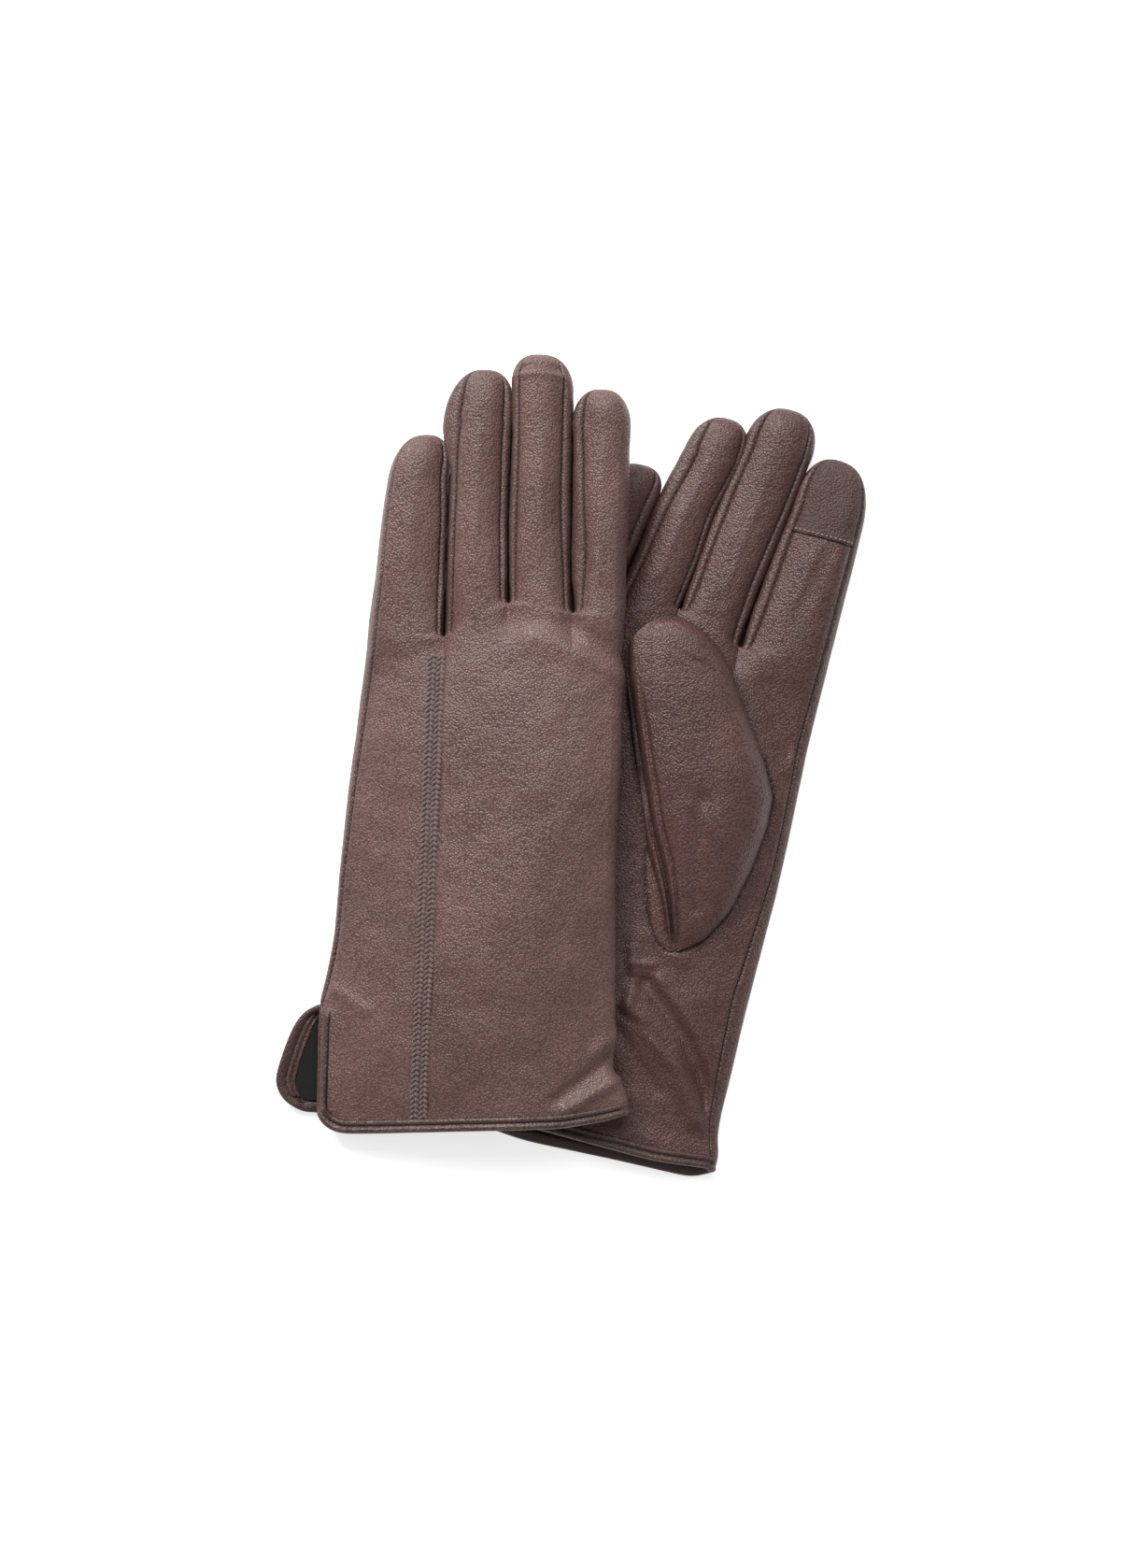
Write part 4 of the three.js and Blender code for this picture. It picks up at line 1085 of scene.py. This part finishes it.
def make_fingers(glove, skins, strips):
    """The skins, sides, touch tip, linings and seams of a glove's four fingers."""
    skin_mat, side_mat = f"leather_{glove.name}", f"side_{glove.name}"
    for k, f in enumerate(glove.fingers):
        grids, fr = strips[k]
        thin = SKIN * np.maximum(fr.scale, 0.12)
        for layer, face in layers(glove):
            skin, normals, dark = skins[layer][3][k]
            thick = thin
            node = f"{f.name}_{face}"
            if f.name == "index" and face == "palm":
                cut = int(np.argmin(np.abs(skin[:, 5, 1] - TOUCH_SEAM)))
                gap = np.abs(skin[:, :, 1] - skin[cut, :, 1][None, :])
                past = (np.arange(len(skin)) >= cut)[:, None]
                skin = skin + normals * (0.34 * past * bell(gap, 3.0))[..., None]
                groove = dent(gap, 0.5, 0.3) * smooth(row_width(skin), 4, 8)[:, None]
                skin = skin - normals * groove[..., None]
                # Painted shade in the touch tip's seam groove.
                dark = np.maximum(dark, np.clip(groove / 0.5, 0, 1) ** 1.5)
                normals = normals_of(skin, 1 if layer == "up" else -1)
                touch = shell("index_touch_tip", skin[cut:], normals[cut:],
                              glove, "touch", dark[cut:], thick[cut:])
                place(glove, touch, "index_touch_tip", f.name)
                near = cut + int(np.argmax(skin[cut:, 5, 1] > skin[cut, 5, 1] + 0.85))
                seam = stitches("index_touch_stitches", glove, skin[near, 2:-2],
                                normals[near, 2:-2], pitch=1.45, length=1.05, radius=0.25,
                                sink=-0.08, material="thread_light")
                place(glove, seam, None, f.name)
                skin, normals, dark = skin[:cut + 1], normals[:cut + 1], dark[:cut + 1]
                thick = thick[:cut + 1]
            obj = shell(node, skin, normals, glove, skin_mat, dark, thick)
            place(glove, obj, node, f.name)
        for side, key in (("little_side", "strip_l"), ("index_side", "strip_r")):
            if key not in grids:
                continue
            grid = grids[key]
            start = fr.yl - fr.y0[0] if key == "strip_l" else fr.yr - fr.y0[1]
            fade = smooth(start, 0.2, 2.0) * fr.scale
            e = seam_dent(grid, fade, fade)
            deep = np.linspace(0, 1, grid.shape[1])[None, ::1 if key == "strip_r" else -1]
            n = normals_of(grid)
            n[0] = n[3]
            soft = 0.12 * noise(grid[..., 1] * 1.2, grid[..., 2], 4) * fade[:, None]
            skin = grid + n * (soft - e)[..., None]
            skin = snap_to_skins(skin, skins, k, key)
            node = f"{f.name}_fourchette_{side}"
            # Painted shade on the lower part of each side strip, as well as in its seams.
            dark = np.maximum(seam_painted_shade(e), 0.7 * smooth(deep, 0.12, 0.6))
            obj = shell(node, skin, normals_of(skin), glove, side_mat,
                        dark, thin)
            place(glove, obj, node, f.name)
        make_finger_lining(glove, skins, k, f.name)
        make_finger_seams(glove, skins, k, f.name)


def snap_to_skins(skin, skins, k, key):
    """The strip's two long edges meet the upper and the lower skin exactly."""
    upper, lower = skins["up"][3][k][0], skins["low"][3][k][0]
    ends = (lower[:, 0], upper[:, 0]) if key == "strip_l" else (upper[:, -1], lower[:, -1])
    share = np.linspace(0, 1, skin.shape[1])[None, :, None]
    first = (ends[0] - skin[:, 0])[:, None] * np.clip(1 - share * 4, 0, 1)
    last = (ends[1] - skin[:, -1])[:, None] * np.clip(share * 4 - 3, 0, 1)
    return skin + first + last


def make_finger_lining(glove, skins, k, name):
    """Knitted sock inside the finger."""
    upper, lower = skins["up"][3][k][0], skins["low"][3][k][0]
    cols_u = np.linspace(3, upper.shape[1] - 4, 15).astype(int)
    cols_l = np.linspace(3, lower.shape[1] - 4, 15).astype(int)
    rows = list(range(2, len(upper) - 7, 3))
    ring = np.concatenate([upper[rows][:, cols_u], lower[rows][:, cols_l[::-1]]], 1)
    middle = ring.mean(1, keepdims=True)
    ring = middle + (ring - middle) * np.array([0.84, 0.9, 0.62])
    ring = np.concatenate([ring, ring[:, :1]], 1)
    end = ring[-1:].mean(1, keepdims=True) + (ring[-1:] - ring[-1:].mean(1, keepdims=True)) * 0.3
    ring = np.concatenate([ring, end], 0)
    obj = shell(f"{name}_lining", ring, normals_of(ring), glove, "lining",
                thick=KNIT)
    place(glove, obj, f"{name}_lining", name)


def make_finger_seams(glove, skins, k, name):
    """Thread down in each seam of the finger that shows on its upper face."""
    upper, normals = skins["up"][3][k][:2]
    last = len(upper) - 10
    for side, column in (("l", 0), ("r", -1)):
        path, n = upper[1:last, column], normals[1:last, column]
        seam = stitches(f"{name}_seam_{side}", glove, path, n, **SEAM_THREAD)
        place(glove, seam, None, name)


def make_hand(glove, skins):
    """The two panels of the hand and the thread in their side seams."""
    mat = f"leather_{glove.name}"
    for layer, face in layers(glove):
        grid, normals, dark, _ = skins[layer]
        obj = shell(f"{face}_panel", grid, normals, glove, mat, dark)
        place(glove, obj, f"{face}_panel")
    grid, normals = skins["up"][:2]
    for side, column, first in (("l", 0, 42), ("r", -1, 6)):
        seam = stitches(f"side_seam_{side}", glove, grid[first:, column],
                        normals[first:, column], **SEAM_THREAD)
        place(glove, seam, None)


def sample_rows(grid, run, ways):
    """Points of every row of a grid at the given ways along it."""
    out = np.zeros((*ways.shape, 3))
    for r, at in enumerate(ways):
        for i in range(3):
            out[r, :, i] = np.interp(at, run[r], grid[r, :, i])
    return out


def along_rows(grid, start, stop, count):
    """Points spread evenly over every row, from a way in from one end to a way off the other."""
    run = run_lengths(grid)[0]
    return sample_rows(grid, run, np.linspace(start, run[:, -1] - stop, count, axis=1))


def make_hand_lining(glove, skins):
    """Knitted bag inside the hand, open at the hem and carried out over the vent's flap."""
    upper, up_n = skins["up"][:2]
    lower, low_n = skins["low"][:2]
    rows = np.concatenate([np.arange(4, 60, 2), np.arange(60, HAND_ROWS - 2, 5)])
    closed = smooth(lower[rows, 0, 1], VENT_TOP - 9, VENT_TOP + 1)
    top = along_rows((upper - up_n * 1.5)[rows], lerp(3.6, 2.0, closed), 5.0, 60)
    low = along_rows((lower - low_n * 1.35)[rows], lerp(FACING, 6.0, closed), 7.0, 70)
    ring = np.concatenate([top, low[:, ::-1]], 1)
    obj = shell("hand_lining", ring, normals_of(ring), glove, "lining",
                thick=KNIT)
    place(glove, obj, "hand_lining")


def make_facing(glove, skins):
    """Leather turned in along the flap's edge, with its stitched inner edge."""
    lower, low_n = skins["low"][:2]
    rows = np.arange(5, int(np.argmax(lower[:, 0, 1] > VENT_TOP - 3)))
    inner = lower - low_n * (SKIN + 0.55)
    ways = np.tile(np.linspace(2.6, FACING + 0.7, 9), (len(rows), 1))
    part = sample_rows(inner[rows], run_lengths(lower)[0][rows], ways)
    part[..., 2] += [0.1, 0.28, 0.34, 0.3, 0.12, -0.1, 0.2, 0.42, 0.1]
    # Painted shade along the facing's edges and in its stitch groove.
    dark = np.tile([0.2, 0, 0, 0, 0.3, 0.85, 0.2, 0, 0.4], (len(rows), 1))
    n = normals_of(part)
    obj = shell("vent_facing", part, n, glove, "binding", dark,
                thick=0.5)
    place(glove, obj, None)
    seam = stitches("vent_facing_stitches", glove, part[:, 5], n[:, 5],
                    pitch=1.6, length=1.1, radius=0.16, sink=-0.1)
    place(glove, seam, None)


BINDING = [(-0.35, -1.0), (-0.85, -0.45), (-0.85, 0.15), (-0.45, 0.62), (0.1, 0.82), (0.65, 0.74),
           (1.1, 0.42), (1.32, 0.12), (1.5, 0.12), (1.72, 0.4), (2.15, 0.66), (2.65, 0.68),
           (3.1, 0.46), (3.36, 0.12), (3.45, -0.25), (3.3, -1.0), (1.6, -1.2)]
# Painted shade in the binding's two grooves and on its underside, one value per profile point.
BINDING_PAINTED_SHADE = [0.3, 0, 0, 0, 0, 0, 0.25, 0.9, 0.9, 0.25, 0, 0, 0.2, 0.8, 0.9, 0.6, 0.5]


def resample(points, step):
    """The same line with points at an even step."""
    d = np.concatenate([[0], np.cumsum(np.linalg.norm(np.diff(points[:, :3], axis=0), axis=1))])
    at = np.linspace(0, d[-1], int(d[-1] / step) + 1)
    return np.stack([np.interp(at, d, points[:, i]) for i in range(points.shape[1])], -1)


def edge_and_inside(grid, reach=3.4):
    """Points of a grid's first column, each with the direction into the sheet."""
    index = np.argmax(run_lengths(grid)[0] > reach, axis=1)
    inside = grid[np.arange(len(grid)), index]
    return np.concatenate([grid[:, 0], unit(inside - grid[:, 0])], 1)


def make_binding(glove, skins):
    """Rolled double-row binding round the hem and up both edges of the vent."""
    upper, lower = skins["up"][0], skins["low"][0]
    vent_u = int(np.argmax(upper[:, 0, 1] > VENT_TOP - 1.2))
    vent_l = int(np.argmax(lower[:, 0, 1] > VENT_TOP - 1.2))
    # Along the loop: down the vent's near edge, the upper hem, the lower hem, up the flap.
    hem_u, hem_l = upper[:14].transpose(1, 0, 2), lower[:14].transpose(1, 0, 2)
    loop = np.concatenate([edge_and_inside(upper[vent_u:0:-1]), edge_and_inside(hem_u),
                           edge_and_inside(hem_l[::-1])[1:], edge_and_inside(lower[1:vent_l])])
    loop = resample(loop, 0.8)
    for turn in range(14):
        rounded = (np.roll(loop, 1, 0) + 2 * loop + np.roll(loop, -1, 0)) / 4
        loop = rounded if turn < 6 else np.concatenate([loop[:, :3], rounded[:, 3:]], 1)
    path = loop[:, :3]
    tangent = unit(np.roll(path, -1, 0) - np.roll(path, 1, 0))
    inward = loop[:, 3:]
    inward = unit(inward - (inward * tangent).sum(1, keepdims=True) * tangent)
    normals = np.cross(tangent, inward)
    obj, rings = sweep("cuff_binding", glove, path, normals, inward, BINDING,
                       "binding", BINDING_PAINTED_SHADE)
    place(glove, obj, "cuff_binding")
    for number, column in ((1, 7), (2, 13)):
        seam = stitches(f"cuff_stitches_{number}", glove, rings[:, column],
                        normals, sink=-0.05, pitch=1.7, length=1.15, radius=0.16)
        place(glove, seam, None)


def make_braid(glove, skins):
    """Two rows of slanting stitches down the back."""
    face = skins["up" if glove.back_up else "low"][0][:, 8:-8]
    sign, proud = (1, 0.26) if glove.back_up else (-1, 0.04)
    lift = sign * (proud - 0.16 * np.abs(np.arange(5) - 2))
    size = np.array([0.2, 0.46, 0.55, 0.46, 0.2])[:, None]
    verts, faces = [], []
    for row, y in enumerate(np.arange(1.5, 144.5, 1.62)):
        for column, (dx, slant) in enumerate(((-2.05, 38), (-0.72, -38), (0.72, 38), (2.05, -38))):
            yy = y + (0.4 if column % 2 else -0.1) + 0.12 * noise(row * 3.1, column * 5.3, 1)
            a = math.radians(90 - slant)
            way = np.array([math.cos(a), math.sin(a)])
            points = np.array([braid_x(yy) + dx, yy]) + np.linspace(-1, 1, 5)[:, None] * way * 1.12
            centre = np.column_stack([points, surface_at(face, points) + lift])
            side = np.array([-way[1], way[0], 0])
            add_thread(verts, faces, centre, size * side, 0.62 * size * np.array([0, 0, 1]))
    obj = build("back_braid", np.concatenate(verts), faces, glove, "braid")
    place(glove, obj, "back_braid")


def surface_at(grid, points):
    """Height of a grid at plan places, from its nearest points."""
    flat = grid[:, ::3].reshape(-1, 3)
    near = flat[np.abs(flat[:, 0] - points[2, 0]) < 5]
    out = []
    for p in points:
        d = np.hypot(near[:, 0] - p[0], near[:, 1] - p[1])
        w = bell(d, 1.1) + 1e-12
        out.append((near[:, 2] * w).sum() / w.sum())
    return np.array(out)


def make_elastic(glove, skins):
    """Narrow elastic across the palm side of the wrist, under the palm skin."""
    layer = "low" if glove.back_up else "up"
    grid, normals = skins[layer][:2]
    rows = np.where((grid[:, 40, 1] > 46) & (grid[:, 40, 1] < 54))[0]
    cols = np.where(np.abs(grid[rows[0], :, 0]) < 24)[0][::2]
    part = grid[rows][:, cols] - normals[rows][:, cols] * (SKIN + 0.12)
    obj = shell("wrist_elastic", part, normals[rows][:, cols], glove, "elastic",
                thick=0.3)
    place(glove, obj, "wrist_elastic")


def make_thumb(glove):
    """The thumb's base, outer and inner skin and lining."""
    s, top, low = thumb_grids(glove)
    out = -1.0 if glove.back_up else 1.0
    n = normals_of(top, out)
    grid_dent = seam_dent(top, np.ones(len(s)), np.ones(len(s))) * 0.8
    # Painted shade in the seam round the thumb.
    dark = np.clip(grid_dent / 0.6, 0, 1) ** 1.5
    # Painted shadow: a dark line round the thumb's free tip, where it meets the palm.
    dark = np.maximum(dark, 0.45 * smooth(s, 103.8, 104.8)[:, None])
    # Painted shade in the valleys between the rolls on the thumb.
    if not glove.back_up:
        x = lerp(thumb_left(s)[:, None], thumb_right(s)[:, None], np.linspace(0, 1, top.shape[1]))
        off = x - ridge_line(s)[:, None]
        keep = (smooth(s, 1, 8) * (1 - smooth(s, 72, 84)))[:, None]
        near = lerp(0.55, 1.0, smooth(s, 4, 30))[:, None]
        for at, shade in ((-1.25, 0.95), (-4.5, 0.55), (2.0, 0.55)):
            dark = np.maximum(dark, keep * shade * bell(off - at * near, 0.38))
    cut = int(np.argmin(np.abs(s - THUMB_HINGE)))
    flip = slice(None, None, -1) if glove.back_up else slice(None)
    mat = f"leather_{glove.name}"
    base = shell("thumb_base", top[:cut + 1, flip], n[:cut + 1, flip], glove, mat,
                 dark[:cut + 1, flip])
    place(glove, base, "thumb_base")
    outer = shell("thumb_outer", top[cut:, flip], n[cut:, flip], glove, mat,
                  dark[cut:, flip])
    first = cut - 6
    inner_n = np.zeros_like(low) + (0, 0, -out)
    inner = shell("thumb_inner", low[first:, ::-1][:, flip],
                  inner_n[first:, ::-1][:, flip], glove, mat, thick=0.6)
    middle = (top + low) / 2
    ring = np.concatenate([lerp(middle, top, 0.55)[cut:-8, 8:-8:4],
                           lerp(middle, low, 0.35)[cut:-8, -8:8:-4]], 1)
    ring = np.concatenate([ring, ring[:, :1]], 1)[:, flip]
    lining = shell("thumb_lining", ring, normals_of(ring), glove, "lining",
                   thick=0.4)
    for obj, node in ((outer, "thumb_outer"), (inner, "thumb_inner"), (lining, "thumb_lining")):
        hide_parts(prefix(glove, node))
        if glove is RIGHT:
            a, b = thumb_to_hand(8.0, THUMB_HINGE), thumb_to_hand(8.0, THUMB_TIP)
            way = to_row(glove, np.array([(*a, 0.0), (*b, 0.0)]))
            way = unit(way[1] - way[0])
            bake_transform(obj)
        else:
            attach(obj, glove.body)


for glove in (RIGHT, LEFT):
    skins, strips = glove_skins(glove)
    make_hand(glove, skins)
    make_fingers(glove, skins, strips)
    make_hand_lining(glove, skins)
    make_binding(glove, skins)
    make_facing(glove, skins)
    make_braid(glove, skins)
    make_elastic(glove, skins)
    make_thumb(glove)


# ---------------------------------------------------------------- stage, light, camera

def stage_floor():
    """Plain white floor with a slight glow, so that it stays as pale as a lit backdrop."""
    mesh = bpy.data.meshes.new("stage_floor")
    side = 3.0
    mesh.from_pydata([(-side, -side, 0), (side, -side, 0), (side, side, 0), (-side, side, 0)], [],
                     [(0, 1, 2, 3)])
    floor = bpy.data.objects.new("stage_floor", mesh)
    bpy.context.scene.collection.objects.link(floor)
    nodes, links, shader, where = new_material("stage_white")
    cloud = texture(nodes, links, where, "ShaderNodeTexNoise", 3)
    links.new(ramp(nodes, links, cloud.outputs["Fac"],
                   [(0.2, (0.93, 0.93, 0.93)), (0.8, (0.95, 0.95, 0.95))]),
              shader.inputs["Base Color"])
    set_inputs(shader, Roughness=0.9, Specular_IOR_Level=0.1, Emission_Color=(1, 1, 1, 1),
               Emission_Strength=0.55)
    mesh.materials.append(MATERIALS["stage_white"])


def area_light(name, location, target, size, power):
    """White square panel that faces the target."""
    light = bpy.data.lights.new(name, "AREA")
    light.shape, light.size, light.size_y = "RECTANGLE", size, size
    light.energy = power
    obj = bpy.data.objects.new(name, light)
    obj.location = location
    way = Vector(target) - Vector(location)
    obj.rotation_euler = way.to_track_quat("-Z", "Y").to_euler()
    bpy.context.scene.collection.objects.link(obj)


def studio():
    world = bpy.data.worlds.new("studio")
    world.use_nodes = True
    world.node_tree.nodes["Background"].inputs["Color"].default_value = (1, 1, 1, 1)
    world.node_tree.nodes["Background"].inputs["Strength"].default_value = 0.42
    bpy.context.scene.world = world
    area_light("key", (-0.6, 0.95, 0.85), (0, 0.03, 0), 0.6, 24)
    area_light("top", (0.15, 0.8, 1.1), (0, 0.08, 0), 0.8, 9)
    bpy.context.scene.view_settings.view_transform = "Standard"


def camera():
    """Straight above the pair; the long side of the frame covers 486.6 mm at the gloves."""
    data = bpy.data.cameras.new("camera")
    data.lens, data.sensor_width = 135, 36
    cam = bpy.data.objects.new("camera", data)
    height = 0.4866 * data.lens / data.sensor_width
    cam.location = (-0.00371, -0.00567, 0.013 + height)
    data.clip_end = 20
    bpy.context.scene.collection.objects.link(cam)
    bpy.context.scene.camera = cam


stage_floor()
studio()
camera()
